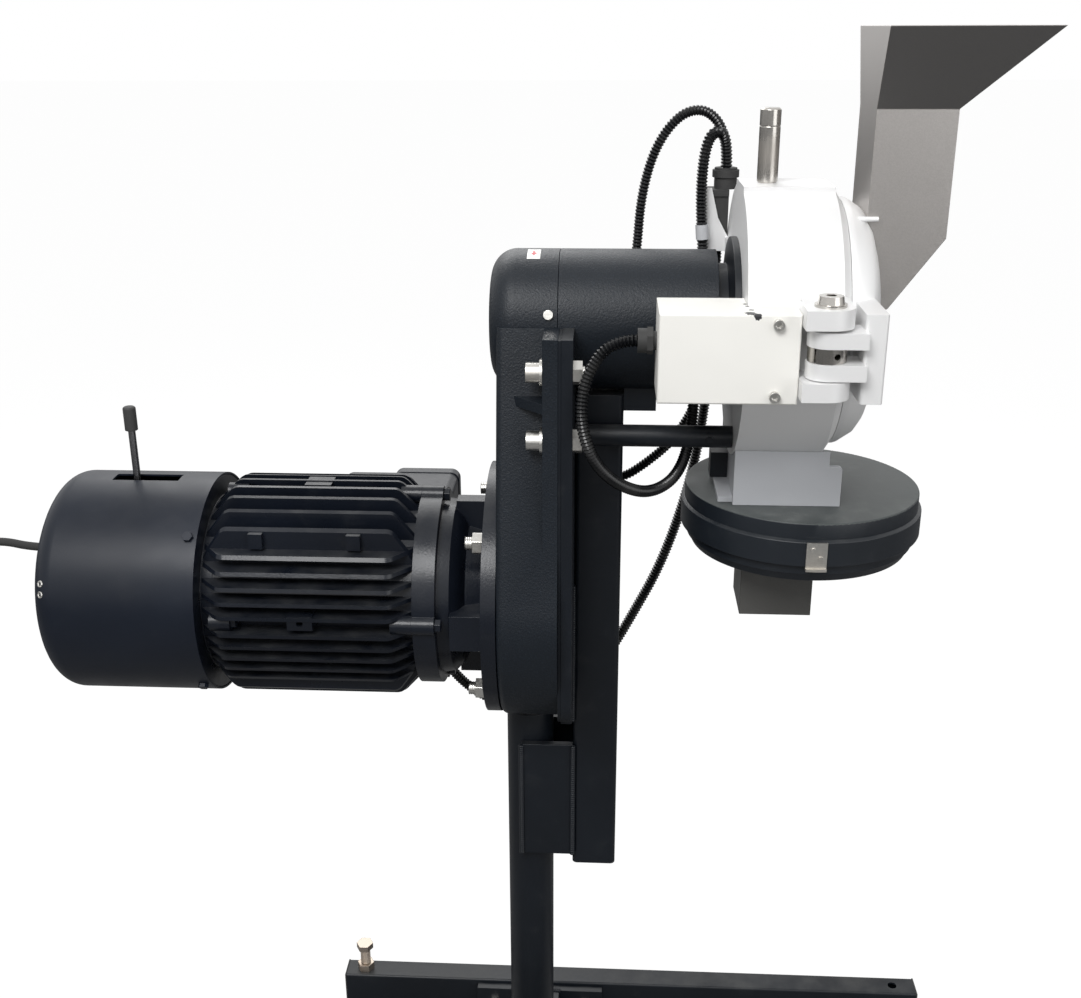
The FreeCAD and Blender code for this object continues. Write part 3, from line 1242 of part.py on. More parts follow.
def check_and_write():
    """Stop on any failed object, then write one file per sub-part."""
    doc.recompute()
    for item in doc.Objects:
        if {"Invalid", "Error"} & set(item.State):
            raise RuntimeError(f"{item.Label} is {item.State}")
    for node, item in SUB_PARTS.items():
        shape = item.Shape
        if shape.isNull() or not shape.isValid() or not shape.Solids:
            raise RuntimeError(f"{node} has no valid solid")
    os.makedirs("parts", exist_ok=True)
    for node, item in SUB_PARTS.items():
        item.Shape.exportStep(f"parts/{node}.step")
    print(f"{len(SUB_PARTS)} sub-parts written")


fill_sheet()
base_frame()
column()
mounting()
drive_casing()
casing_bolts()
spindle_head()
bearings()
mill_housing()
hinge()
locating_pin()
door()
grinding_discs()
spindle()
drive_belt()
hopper()
discharge_chute()
sieve_drum()
rod_supports()
motor_frame()
end_shields()
motor_fasteners()
motor_inside()
fan_cowl()
brake_lever()
terminal_box()
switch_box()
cover_screws()
rear_switch()
conduits()
supply_cord()
check_and_write()
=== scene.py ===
"""Looks of a floor-standing electric grain mill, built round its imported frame.

X runs along the spindle from the motor to the hopper, Z is up, and the switch box is on the -Y side.
Lengths are metres and colours are linear.
"""
import json
import logging
from dataclasses import dataclass, field
from enum import Enum
from math import cos, pi, radians, sin
from typing import Callable, ClassVar, Iterable, Optional, Sequence, Union

import bmesh
import bpy
from bpy.types import Curve, ID, Material, Mesh, MeshPolygon, NodeSocket, NodeTree, Object
from mathutils import Matrix, Vector

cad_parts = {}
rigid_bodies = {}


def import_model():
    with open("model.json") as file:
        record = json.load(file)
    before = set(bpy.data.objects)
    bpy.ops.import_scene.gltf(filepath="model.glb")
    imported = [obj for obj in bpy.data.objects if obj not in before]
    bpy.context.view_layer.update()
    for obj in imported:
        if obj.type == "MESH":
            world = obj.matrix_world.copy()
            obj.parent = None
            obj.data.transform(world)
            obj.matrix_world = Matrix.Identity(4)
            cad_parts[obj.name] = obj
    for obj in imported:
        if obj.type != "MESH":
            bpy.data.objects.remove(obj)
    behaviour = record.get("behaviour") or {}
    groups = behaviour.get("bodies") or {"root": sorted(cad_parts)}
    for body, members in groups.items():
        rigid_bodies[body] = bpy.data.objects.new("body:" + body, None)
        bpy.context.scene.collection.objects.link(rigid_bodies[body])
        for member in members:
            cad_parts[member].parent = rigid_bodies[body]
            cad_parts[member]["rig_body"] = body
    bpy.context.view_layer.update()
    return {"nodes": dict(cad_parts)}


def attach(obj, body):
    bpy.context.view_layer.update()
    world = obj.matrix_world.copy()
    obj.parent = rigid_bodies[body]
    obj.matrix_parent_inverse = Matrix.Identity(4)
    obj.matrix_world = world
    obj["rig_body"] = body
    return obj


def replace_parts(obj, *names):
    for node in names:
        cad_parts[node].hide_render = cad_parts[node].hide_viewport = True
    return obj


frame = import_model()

LOG = logging.getLogger("grain_mill")
MM = 0.001
Colour = tuple[float, float, float]
Point = tuple[float, float, float]
EVEN = (1, 1, 1)
WHITE_LIGHT = (1, 1, 1)
STAND = "stand_and_head"
RAGGED, RAGGED_SCALE, RAGGED_START = 0.4, 600.0, 0.85
BARE_METAL = (0.02, 0.02, 0.022)
DRY_DUST = (0.32, 0.31, 0.29)


class Signal:
    """Value of a node's socket; an expression on it adds Math nodes."""

    def __init__(self, graph: "Graph", socket: NodeSocket) -> None:
        """Keep the socket and the graph that it belongs to."""
        self.graph = graph
        self.socket = socket

    def maths(self, operation: str, first: "Term", second: "Term" = 0.0) -> "Signal":
        """Add one Math node.

        Args:
            operation: Blender's name of the operation.
            first: First term.
            second: Second term.

        Returns:
            The node's result.
        """
        return self.graph.node("ShaderNodeMath", {0: first, 1: second}, operation=operation)

    def __add__(self, other: "Term") -> "Signal":
        """Sum."""
        return self.maths("ADD", self, other)

    __radd__ = __add__

    def __sub__(self, other: "Term") -> "Signal":
        """Difference."""
        return self.maths("SUBTRACT", self, other)

    def __rsub__(self, other: "Term") -> "Signal":
        """Difference from a number."""
        return self.maths("SUBTRACT", other, self)

    def __mul__(self, other: "Term") -> "Signal":
        """Product."""
        return self.maths("MULTIPLY", self, other)

    __rmul__ = __mul__

    def sine(self) -> "Signal":
        """Sine of the value in radians."""
        return self.maths("SINE", self)

    def beside(self, output: str) -> "Signal":
        """Another output of the same node."""
        return Signal(self.graph, self.socket.node.outputs[output])

    def within(self, low: float, high: float) -> "Signal":
        """Smooth step from zero at the low value to one at the high value."""
        return self.graph.node("ShaderNodeMapRange", {"Value": self, "From Min": low, "From Max": high},
                               interpolation_type="SMOOTHSTEP")


Term = Union[Signal, float]


class Graph:
    """Node tree whose nodes all come from one method."""

    def __init__(self, tree: NodeTree) -> None:
        """Start from an empty tree."""
        self.tree = tree
        self.tree.nodes.clear()

    def node(self, kind: str, inputs: Optional[dict] = None, output: Union[int, str] = 0,
             **settings: str) -> Optional[Signal]:
        """Add a node.

        Args:
            kind: Blender's name of the node type.
            inputs: Values or signals, by the name or number of the socket.
            output: Name or number of the socket that is wanted.
            **settings: Its own settings, such as an operation, set first.

        Returns:
            The wanted output, or nothing for a node without outputs.
        """
        made = self.tree.nodes.new(kind)
        for setting, choice in settings.items():
            setattr(made, setting, choice)
        for name, value in (inputs or {}).items():
            socket = made.inputs[name]
            if isinstance(value, Signal):
                self.tree.links.new(value.socket, socket)
            elif socket.type == "RGBA" and len(value) == 3:
                socket.default_value = (*value, 1.0)
            else:
                socket.default_value = value
        return Signal(self, made.outputs[output]) if made.outputs else None


class Shader(Graph):
    """Material with the few patterns that the finishes share."""

    def __init__(self, name: str) -> None:
        """Make an empty material and its object coordinates."""
        self.material = bpy.data.materials.new(name)
        self.material.use_nodes = True
        super().__init__(self.material.node_tree)
        self.place = self.node("ShaderNodeTexCoord", output="Object")

    def noise(self, scale: float, detail: float = 2.0, stretch: Point = EVEN,
              roughness: float = 0.5) -> Signal:
        """Noise over the surface.

        Args:
            scale: Features per metre.
            detail: Number of finer layers.
            stretch: Scale of each axis, to draw the noise out along one.
            roughness: Strength of the finer layers.

        Returns:
            A value about one half.
        """
        place = self.place
        if stretch != EVEN:
            place = self.node("ShaderNodeMapping", {"Vector": place, "Scale": stretch})
        return self.node("ShaderNodeTexNoise",
                         {"Vector": place, "Scale": scale, "Detail": detail, "Roughness": roughness})

    def cells(self, scale: float) -> Signal:
        """Distance to the middle of the nearest cell."""
        return self.node("ShaderNodeTexVoronoi", {"Vector": self.place, "Scale": scale})

    def blend(self, amount: Term, first: Union[Signal, Colour], second: Union[Signal, Colour]) -> Signal:
        """Mix of two colours."""
        return self.node("ShaderNodeMix", {0: amount, 6: first, 7: second}, 2, data_type="RGBA")

    def relief(self, height: Signal, depth: float, below: Optional[Signal] = None) -> Signal:
        """Bump that feeds Normal, over another one if that is given."""
        inputs = {"Height": height, "Distance": depth}
        if below is not None:
            inputs["Normal"] = below
        return self.node("ShaderNodeBump", inputs)

    def facing_up(self) -> Signal:
        """How far the surface faces up, from minus one to one."""
        facing = self.node("ShaderNodeTexCoord", output="Normal")
        return self.node("ShaderNodeSeparateXYZ", {"Vector": facing}, "Z")

    def near(self, place: Point, reach: float) -> Signal:
        """Ragged spot about a point.

        Args:
            place: Middle of the spot, in metres.
            reach: Its radius; its edge strays by a share of that.

        Returns:
            One inside the spot and zero outside.
        """
        away = self.node("ShaderNodeVectorMath", {0: self.place, 1: place}, "Value", operation="DISTANCE")
        strays = (self.noise(RAGGED_SCALE, 3.0) - 0.5) * (2 * RAGGED * reach)
        return 1 - (away + strays).within(reach * RAGGED_START, reach)

    def surface(self, inputs: dict) -> Material:
        """End the material in a Principled shader.

        Args:
            inputs: Values or signals of the shader's sockets.

        Returns:
            The material.
        """
        shader = self.node("ShaderNodeBsdfPrincipled", inputs)
        self.node("ShaderNodeOutputMaterial", {"Surface": shader})
        return self.material


@dataclass(frozen=True)
class Finish:
    """What every finish has: its name, the record's slot, a colour and a roughness."""

    name: str
    slot: str
    colour: Colour
    roughness: float

    def material(self) -> Material:
        """The finish's material, made the first time that it is asked for."""
        return bpy.data.materials.get(self.name) or self.mixed()

    def mixed(self) -> Material:
        """Make the material; each kind of finish does this its own way."""
        raise NotImplementedError

    def shade(self, factor: float) -> Colour:
        """The colour, lighter or darker by a factor."""
        red, green, blue = self.colour
        return red * factor, green * factor, blue * factor


@dataclass(frozen=True)
class Paint(Finish):
    """Sprayed paint: orange peel or crinkle, a faint mottle, dust and rubbed spots."""

    grain: float = 900.0
    depth: float = 0.00004
    mottle: float = 0.15
    dust: float = 0.1
    dust_colour: Colour = (0.30, 0.29, 0.27)
    settled: float = 0.0
    gloss: float = 0.5
    chips: tuple[tuple[Point, float], ...] = ()
    broad_scale: ClassVar[float] = 7.0
    cloud_scale: ClassVar[float] = 38.0
    speck_scale: ClassVar[float] = 1500.0

    def mixed(self) -> Material:
        """Make the paint."""
        shader = Shader(self.name)
        broad = shader.noise(self.broad_scale, 3.0)
        cloud = shader.noise(self.cloud_scale, 4.0)
        fine = shader.noise(self.grain, 2.0)
        body = shader.blend(broad.within(0.3, 0.7), self.shade(1 - self.mottle), self.shade(1 + self.mottle))
        specks = shader.noise(self.speck_scale, 1.0).within(0.66, 0.74) * cloud.within(0.5, 0.7)
        lying = shader.facing_up().within(0.6, 0.98) * cloud.within(0.25, 0.75) * self.settled
        amount = specks * self.dust + cloud.within(0.55, 0.9) * (self.dust * 0.35) + lying
        colour = shader.blend(amount, body, self.dust_colour)
        for place, reach in self.chips:
            colour = shader.blend(shader.near(place, reach), colour, BARE_METAL)
        return shader.surface({
            "Base Color": colour,
            "Roughness": (cloud - 0.5) * 0.18 + self.roughness + specks * 0.1 + lying * 0.5,
            "Specular IOR Level": self.gloss,
            "Normal": shader.relief(fine, self.depth, below=shader.relief(cloud, self.depth * 1.5)),
        })


@dataclass(frozen=True)
class Crinkle(Finish):
    """Crinkle paint on a casting: small round pimples, closer and higher than orange peel, with their tops
    lightened as painted glints.
    """

    grain: float = 620.0
    depth: float = 0.0003
    painted_glint: float = 0.45
    gloss: float = 0.28

    def mixed(self) -> Material:
        """Make the crinkle paint."""
        shader = Shader(self.name)
        pimples = shader.noise(self.grain, 3.0, roughness=0.65)
        fold = shader.cells(self.grain * 0.8)
        broad = shader.noise(9.0, 2.0)
        high = pimples.within(0.52, 0.72)
        body = shader.blend(broad, self.shade(0.85), self.shade(1.2))
        return shader.surface({
            # Painted highlight: the pimple tops are lightened in the base colour to stand for the glints of
            # the lamps.
            "Base Color": shader.blend(high * self.painted_glint, body, self.shade(2.6)),
            "Roughness": (broad - 0.5) * 0.15 + self.roughness - high * 0.08,
            "Specular IOR Level": self.gloss,
            "Normal": shader.relief(pimples + fold * 0.4, self.depth),
        })


@dataclass(frozen=True)
class Steel(Finish):
    """Bare or plated steel, drawn out along one axis, with stains, fine scratches and, where asked, painted
    shade on the faces that look down.
    """

    drawn: Point = EVEN
    grain: float = 700.0
    stain_and_shade: Colour = (0.3, 0.26, 0.2)
    stained: float = 0.12
    depth: float = 0.00002
    underside_shade: float = 0.0

    def mixed(self) -> Material:
        """Make the steel."""
        shader = Shader(self.name)
        lines = shader.noise(self.grain, 3.0, self.drawn)
        broad = shader.noise(14.0, 4.0)
        patches = broad.within(0.48, 0.72)
        # Painted shade, not a dirt film: faces that look down are blended towards the stain colour to stand
        # for the shade under them.
        film = shader.facing_up().within(-0.15, -0.38) * self.underside_shade if self.underside_shade else 0.0
        body = shader.blend(lines, self.shade(0.86), self.shade(1.1))
        return shader.surface({
            "Base Color": shader.blend(patches * self.stained + film, body, self.stain_and_shade),
            "Metallic": 1.0,
            "Roughness": (lines - 0.5) * 0.2 + self.roughness + patches * (self.stained * 0.5),
            "Normal": shader.relief(lines, self.depth),
        })


@dataclass(frozen=True)
class Moulded(Finish):
    """Plastic or rubber: a fine grain, faint flow marks and a little dust in the grain."""

    grain: float = 1400.0
    depth: float = 0.00003
    dust: float = 0.06
    gloss: float = 0.35

    def mixed(self) -> Material:
        """Make the plastic or rubber."""
        shader = Shader(self.name)
        fine = shader.noise(self.grain, 2.0)
        broad = shader.noise(25.0, 3.0)
        colour = shader.blend(broad.within(0.45, 0.8) * self.dust,
                              shader.blend(fine, self.shade(0.85), self.shade(1.15)), DRY_DUST)
        return shader.surface({
            "Base Color": colour,
            "Roughness": (broad - 0.5) * 0.2 + self.roughness,
            "Specular IOR Level": self.gloss,
            "Normal": shader.relief(fine, self.depth),
        })


WORN = (((0.1820, -0.1110, 0.9985), 0.0026), ((0.1825, -0.1200, 0.9985), 0.0022),
        ((0.1845, -0.1345, 0.9985), 0.0024), ((0.1825, -0.1470, 0.9985), 0.0050),
        ((0.1880, -0.1515, 0.9965), 0.0035))


class Finishes(Enum):
    """Every finish on the machine."""

    MOTOR = Paint("motor_paint", "black_paint", (0.0055, 0.0075, 0.0125), 0.30, 420.0, 0.00012, 0.25, 0.10,
                  (0.22, 0.22, 0.21), 0.10, 0.32)
    COWL = Paint("cowl_paint", "black_paint", (0.0070, 0.0100, 0.0175), 0.40, 1100.0, 0.00004, 0.12, 0.05,
                 (0.22, 0.22, 0.22), 0.03, 0.26)
    CASTING = Crinkle("crinkle_paint", "black_crinkle", (0.0066, 0.0095, 0.0138), 0.44)
    FRAME = Paint("stand_paint", "black_paint", (0.0055, 0.0075, 0.0110), 0.38, 800.0, 0.00005, 0.2, 0.12,
                  (0.22, 0.22, 0.21), 0.12, 0.3)
    DRUM = Paint("sieve_drum_paint", "black_paint", (0.0090, 0.0120, 0.0165), 0.42, 600.0, 0.00006, 0.15,
                 0.10, (0.25, 0.25, 0.24), 0.10, 0.4)
    LID = Paint("dusty_lid_paint", "black_paint", (0.050, 0.058, 0.058), 0.5, 500.0, 0.00006, 0.12, 0.45,
                (0.34, 0.35, 0.34), 0.16, 0.4)
    WHITE = Paint("white_paint", "white_paint", (0.85, 0.85, 0.84), 0.34, 500.0, 0.00005, 0.02, 0.05,
                  (0.35, 0.33, 0.30))
    WARM_WHITE = Paint("box_paint", "white_paint", (0.84, 0.83, 0.79), 0.45, 1000.0, 0.00003, 0.03, 0.06,
                       (0.35, 0.33, 0.30), 0.0, 0.5, WORN)
    GREY = Paint("chute_paint", "grey_paint", (0.40, 0.41, 0.43), 0.5, 900.0, 0.00005, 0.08, 0.25,
                 (0.5, 0.5, 0.5))
    # Painted shade: the chute's grey paint, darkened to stand for the drum's shadow on the spout.
    SHADED_SPOUT = Paint("spout_paint", "grey_paint", (0.072, 0.071, 0.067), 0.45, 900.0, 0.00005, 0.1, 0.2,
                  (0.35, 0.34, 0.32))
    # Painted shade: the last number darkens the hopper's downward-facing flare towards its grey stain colour.
    HOPPER = Steel("blasted_stainless", "bare_stainless", (0.44, 0.42, 0.405), 0.40, EVEN, 900.0,
                   (0.10, 0.10, 0.10), 0.0, 0.00004, 0.75)
    PIN = Steel("polished_pin", "polished_steel", (0.52, 0.50, 0.47), 0.22, (40, 40, 1), 60.0,
                (0.2, 0.16, 0.12), 0.35)
    ZINC = Steel("zinc_plate", "zinc", (0.62, 0.61, 0.58), 0.32, EVEN, 500.0, (0.35, 0.28, 0.2), 0.25)
    WEATHERED = Steel("weathered_zinc", "zinc", (0.46, 0.40, 0.34), 0.4, EVEN, 400.0, (0.22, 0.12, 0.06), 0.6)
    BLACKENED = Steel("blackened_steel", "zinc", (0.24, 0.24, 0.25), 0.28, EVEN, 500.0,
                      (0.08, 0.08, 0.08), 0.3)
    MACHINED = Steel("machined_steel", "machined_steel", (0.42, 0.42, 0.42), 0.3, (1, 30, 30), 60.0)
    GRINDING = Crinkle("grinding_steel", "grinding_steel", (0.10, 0.10, 0.10), 0.55, 500.0, 0.0002)
    PLASTIC = Moulded("black_plastic", "black_plastic", (0.0040, 0.0045, 0.0055), 0.26, dust=0.01, gloss=0.2)
    HOSE = Moulded("hose_plastic", "black_plastic", (0.004, 0.0045, 0.0055), 0.24)
    RUBBER = Moulded("black_rubber", "black_rubber", (0.008, 0.008, 0.009), 0.48)
    CORE = Crinkle("winding_lacquer", "copper_core", (0.16, 0.07, 0.03), 0.45, 900.0, 0.0002)
    LABEL = Paint("label_film", "white_paint", (0.82, 0.82, 0.80), 0.4, 1200.0, 0.00001, 0.02, 0.02)
    TAPE = Paint("silver_tape", "grey_paint", (0.55, 0.56, 0.58), 0.35, 900.0, 0.00002, 0.05, 0.1)
    RED = Paint("red_print", "white_paint", (0.45, 0.02, 0.03), 0.4, 1200.0, 0.00001, 0.02, 0.02)


BROUGHT_TOGETHER = 2e-6
FLAT_ANGLE = radians(0.4)
SHARP_ANGLE = radians(32)


def linked(name: str, data: ID) -> Object:
    """Object with some data, new in the scene."""
    made = bpy.data.objects.new(name, data)
    bpy.context.scene.collection.objects.link(made)
    return made


def piece_from(mesh: Mesh, name: str, body: str, finish: Finishes) -> Object:
    """Put a finished mesh in the scene, riding on a body.

    Args:
        mesh: Mesh with its place in its points.
        name: Name of the piece.
        body: Body that it rides on.
        finish: Its finish.

    Returns:
        The piece.
    """
    piece = linked(name, mesh)
    mesh.materials.clear()
    mesh.materials.append(finish.value.material())
    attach(piece, body)
    LOG.info("%s: %d faces, rides on %s", name, len(mesh.polygons), body)
    return piece


def smooth_by_angle(mesh: Mesh, limit: float = SHARP_ANGLE) -> None:
    """Shade a mesh smooth between its sharp edges, which bend more than the limit."""
    shell = bmesh.new()
    shell.from_mesh(mesh)
    for face in shell.faces:
        face.smooth = True
    for edge in shell.edges:
        edge.smooth = not (edge.is_manifold and edge.calc_face_angle() > limit)
    shell.to_mesh(mesh)
    shell.free()


def baked(holder: Object, name: str) -> Mesh:
    """Plain mesh of an object with its modifiers, which goes away.

    Args:
        holder: Object that only carries the modifiers.
        name: Name of the new mesh.

    Returns:
        The mesh.
    """
    bpy.context.view_layer.update()
    graph = bpy.context.evaluated_depsgraph_get()
    mesh = bpy.data.meshes.new_from_object(holder.evaluated_get(graph))
    mesh.name = name
    old = holder.data
    bpy.data.objects.remove(holder)
    if isinstance(old, Mesh):
        bpy.data.meshes.remove(old)
    else:
        bpy.data.curves.remove(old)
    return mesh


def dressed(node: str, finish: Finishes, edge: float = 0.6 * MM, segments: int = 2,
            limit: float = SHARP_ANGLE) -> Object:
    """Copy of a CAD node with merged faces, rounded edges and a finish, which stands for the node.

    Args:
        node: Name of the node.
        finish: Finish of the piece.
        edge: Width of the rounding on its sharp edges; zero leaves them sharp.
        segments: Number of faces across the rounding.
        limit: Bend in radians over which an edge is sharp.

    Returns:
        The piece.
    """
    mesh = frame["nodes"][node].data.copy()
    shell = bmesh.new()
    shell.from_mesh(mesh)
    bmesh.ops.remove_doubles(shell, verts=shell.verts, dist=BROUGHT_TOGETHER)
    bmesh.ops.dissolve_limit(shell, angle_limit=FLAT_ANGLE, verts=shell.verts, edges=shell.edges)
    shell.to_mesh(mesh)
    shell.free()
    smooth_by_angle(mesh, limit)
    if edge > 0:
        holder = linked("holder", mesh)
        bevel = holder.modifiers.new("rounding", "BEVEL")
        bevel.width = edge
        bevel.segments = segments
        bevel.limit_method = "ANGLE"
        bevel.angle_limit = limit
        bevel.harden_normals = True
        mesh = baked(holder, f"{node}_finish")
    piece = piece_from(mesh, f"{node}_finish", frame["nodes"][node]["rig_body"], finish)
    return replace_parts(piece, node)


def second_finish(piece: Object, finish: Finishes,
                  chosen: Callable[[MeshPolygon], bool]) -> None:
    """Give the chosen faces of a piece a second finish.

    Args:
        piece: Dressed piece.
        finish: Finish of the chosen faces.
        chosen: Says whether a face is one of them.
    """
    piece.data.materials.append(finish.value.material())
    for face in piece.data.polygons:
        if chosen(face):
            face.material_index = 1


@dataclass
class Assembly:
    """Sub-assembly made of dressed nodes and pieces of its own."""

    finishes: ClassVar[dict[str, Finishes]] = {}
    edges: ClassVar[dict[str, float]] = {}
    limits: ClassVar[dict[str, float]] = {}
    edge: float = 0.6 * MM
    pieces: dict[str, Object] = field(default_factory=dict)

    def dress(self) -> None:
        """Dress every node of the sub-assembly."""
        for node, finish in self.finishes.items():
            self.pieces[node] = dressed(node, finish, self.edges.get(node, self.edge),
                                        limit=self.limits.get(node, SHARP_ANGLE))

    def build(self) -> None:
        """Make the whole sub-assembly."""
        self.dress()


class Recipe(Graph):
    """Geometry Nodes tree with named sizes, run on a curve or mesh to give a plain mesh."""

    def __init__(self, name: str, sizes: dict[str, float]) -> None:
        """Make the tree and its inputs.

        Args:
            name: Name of the tree.
            sizes: Named sizes and what they are unless a run gives another.
        """
        super().__init__(bpy.data.node_groups.new(name, "GeometryNodeTree"))
        self.tree.interface.new_socket("Geometry", in_out="INPUT", socket_type="NodeSocketGeometry")
        self.tree.interface.new_socket("Geometry", in_out="OUTPUT", socket_type="NodeSocketGeometry")
        self.tree.interface.new_socket("Finish", in_out="INPUT", socket_type="NodeSocketMaterial")
        for size, usual in sizes.items():
            made = self.tree.interface.new_socket(size, in_out="INPUT", socket_type="NodeSocketFloat")
            made.default_value = usual
        self.given = self.tree.nodes.new("NodeGroupInput")

    def size(self, name: str) -> Signal:
        """Signal of one named size."""
        return Signal(self, self.given.outputs[name])

    def circle(self, sides: int, radius: Union[Signal, float]) -> Signal:
        """Circle with a number of sides."""
        return self.node("GeometryNodeCurvePrimitiveCircle", {"Resolution": sides, "Radius": radius},
                         mode="RADIUS")

    def finish(self, geometry: Signal) -> None:
        """End the tree in plain geometry with its material."""
        real = self.node("GeometryNodeRealizeInstances", {0: geometry})
        coloured = self.node("GeometryNodeSetMaterial",
                             {"Geometry": real, "Material": self.size("Finish")})
        self.node("NodeGroupOutput", {"Geometry": coloured})

    def run(self, data: Union[Curve, Mesh], name: str, finish: Finishes,
            **sizes: float) -> Mesh:
        """Run the recipe.

        Args:
            data: Curve or mesh that it works on.
            name: Name of the result.
            finish: Finish of the result.
            **sizes: Sizes that differ from the usual ones.

        Returns:
            The plain mesh.
        """
        holder = linked("holder", data)
        modifier = holder.modifiers.new("recipe", "NODES")
        modifier.node_group = self.tree
        for item in self.tree.interface.items_tree:
            if item.item_type == "SOCKET" and item.in_out == "INPUT":
                if item.name in sizes:
                    modifier[item.identifier] = sizes[item.name]
                elif item.name == "Finish":
                    modifier[item.identifier] = finish.value.material()
        return baked(holder, name)


def in_metres(points: Iterable[Point]) -> list[Point]:
    """Points given in millimetres, in metres."""
    return [(x * MM, y * MM, z * MM) for x, y, z in points]


def traced(name: str, points: Sequence[Point], kind: str) -> Curve:
    """Curve of one kind of spline through, or led by, points in millimetres."""
    curve = bpy.data.curves.new(name, "CURVE")
    curve.dimensions = "3D"
    line = curve.splines.new(kind)
    line.points.add(len(points) - 1)
    for control, corner in zip(line.points, in_metres(points)):
        control.co = (*corner, 1.0)
    return curve


def spline(name: str, points: Sequence[Point]) -> Curve:
    """Open smooth NURBS curve with the points, in millimetres, as its control points."""
    curve = traced(name, points, "NURBS")
    curve.splines[0].order_u = 3
    curve.splines[0].use_endpoint_u = True
    return curve


HOSE_SIDES, RING_SIDES, WIRE_SIDES = 14, 20, 6
RIB_STEPS = 4
DROP_SHAPE = (1.0, 1.0, 0.7)


def hose_recipe() -> Recipe:
    """Recipe for a ribbed hose along a curve."""
    recipe = Recipe("ribbed_hose", {"Radius": 5.2 * MM, "Rib Pitch": 3.4 * MM, "Rib Depth": 0.24})
    step = recipe.size("Rib Pitch") * (1 / RIB_STEPS)
    path = recipe.node("GeometryNodeResampleCurve", {"Curve": recipe.size("Geometry"), "Length": step},
                       mode="LENGTH")
    wave = (recipe.node("GeometryNodeInputIndex") * (2 * pi / RIB_STEPS)).sine()
    swelling = 1 - recipe.size("Rib Depth") * (1 - wave) * 0.5
    ring = recipe.circle(HOSE_SIDES, recipe.size("Radius"))
    tube = recipe.node("GeometryNodeCurveToMesh",
                       {"Curve": path, "Profile Curve": ring, "Scale": swelling, "Fill Caps": True})
    recipe.finish(tube)
    return recipe


def rings_recipe() -> Recipe:
    """Recipe for equal rings across a path, such as the turns of a screw thread or an eyelet."""
    recipe = Recipe("rings", {"Count": 5.0, "Ring Radius": 5.9 * MM, "Wire Radius": 0.5 * MM})
    points = recipe.node("GeometryNodeCurveToPoints",
                         {"Curve": recipe.size("Geometry"), "Count": recipe.size("Count")}, mode="COUNT")
    circle = recipe.circle(RING_SIDES, recipe.size("Ring Radius"))
    wire = recipe.circle(WIRE_SIDES, recipe.size("Wire Radius"))
    ring = recipe.node("GeometryNodeCurveToMesh", {"Curve": circle, "Profile Curve": wire})
    recipe.finish(recipe.node("GeometryNodeInstanceOnPoints",
                              {"Points": points, "Instance": ring, "Rotation": points.beside("Rotation")}))
    return recipe


def beads_recipe() -> Recipe:
    """Recipe for a weld bead along a path: flattened drops, each a little over the last."""
    recipe = Recipe("weld_bead", {"Spacing": 2.4 * MM, "Drop Radius": 3.1 * MM})
    points = recipe.node("GeometryNodeCurveToPoints",
                         {"Curve": recipe.size("Geometry"), "Length": recipe.size("Spacing")}, mode="LENGTH")
    drop = recipe.node("GeometryNodeMeshIcoSphere",
                       {"Radius": recipe.size("Drop Radius"), "Subdivisions": 2})
    recipe.finish(recipe.node("GeometryNodeInstanceOnPoints",
                              {"Points": points, "Instance": drop, "Rotation": points.beside("Rotation"),
                               "Scale": DROP_SHAPE}))
    return recipe


def straight(name: str, start: Point, end: Point) -> Curve:
    """Straight path between two points given in millimetres."""
    return polyline(name, [start, end])


def polyline(name: str, points: Sequence[Point], closed: bool = False) -> Curve:
    """Path of straight runs.

    Args:
        name: Name of the curve.
        points: Its corners, in millimetres.
        closed: Whether the last corner runs on to the first.

    Returns:
        The curve.
    """
    curve = traced(name, points, "POLY")
    curve.splines[0].use_cyclic_u = closed
    return curve


def joined(meshes: Sequence[Mesh], name: str) -> Mesh:
    """Put several meshes together in one."""
    shell = bmesh.new()
    for mesh in meshes:
        shell.from_mesh(mesh)
        bpy.data.meshes.remove(mesh)
    whole = bpy.data.meshes.new(name)
    shell.to_mesh(whole)
    shell.free()
    return whole


def lofted(name: str, sections: Sequence[Sequence[Point]], closed: bool = False) -> Mesh:
    """Skin over sections of equal count.

    Args:
        name: Name of the mesh.
        sections: Corners of each section, in millimetres.
        closed: Whether the last section runs on to the first; otherwise both ends are filled.

    Returns:
        The closed mesh, in metres.
    """
    shell = bmesh.new()
    rows = [[shell.verts.new(corner) for corner in in_metres(section)] for section in sections]
    pairs = list(zip(rows, rows[1:]))
    if closed:
        pairs.append((rows[-1], rows[0]))
    else:
        shell.faces.new(rows[0])
        shell.faces.new(rows[-1])
    for one, following in pairs:
        for i, corner in enumerate(one):
            j = (i + 1) % len(one)
            shell.faces.new((corner, one[j], following[j], following[i]))
    bmesh.ops.recalc_face_normals(shell, faces=shell.faces)
    mesh = bpy.data.meshes.new(name)
    shell.to_mesh(mesh)
    shell.free()
    return mesh


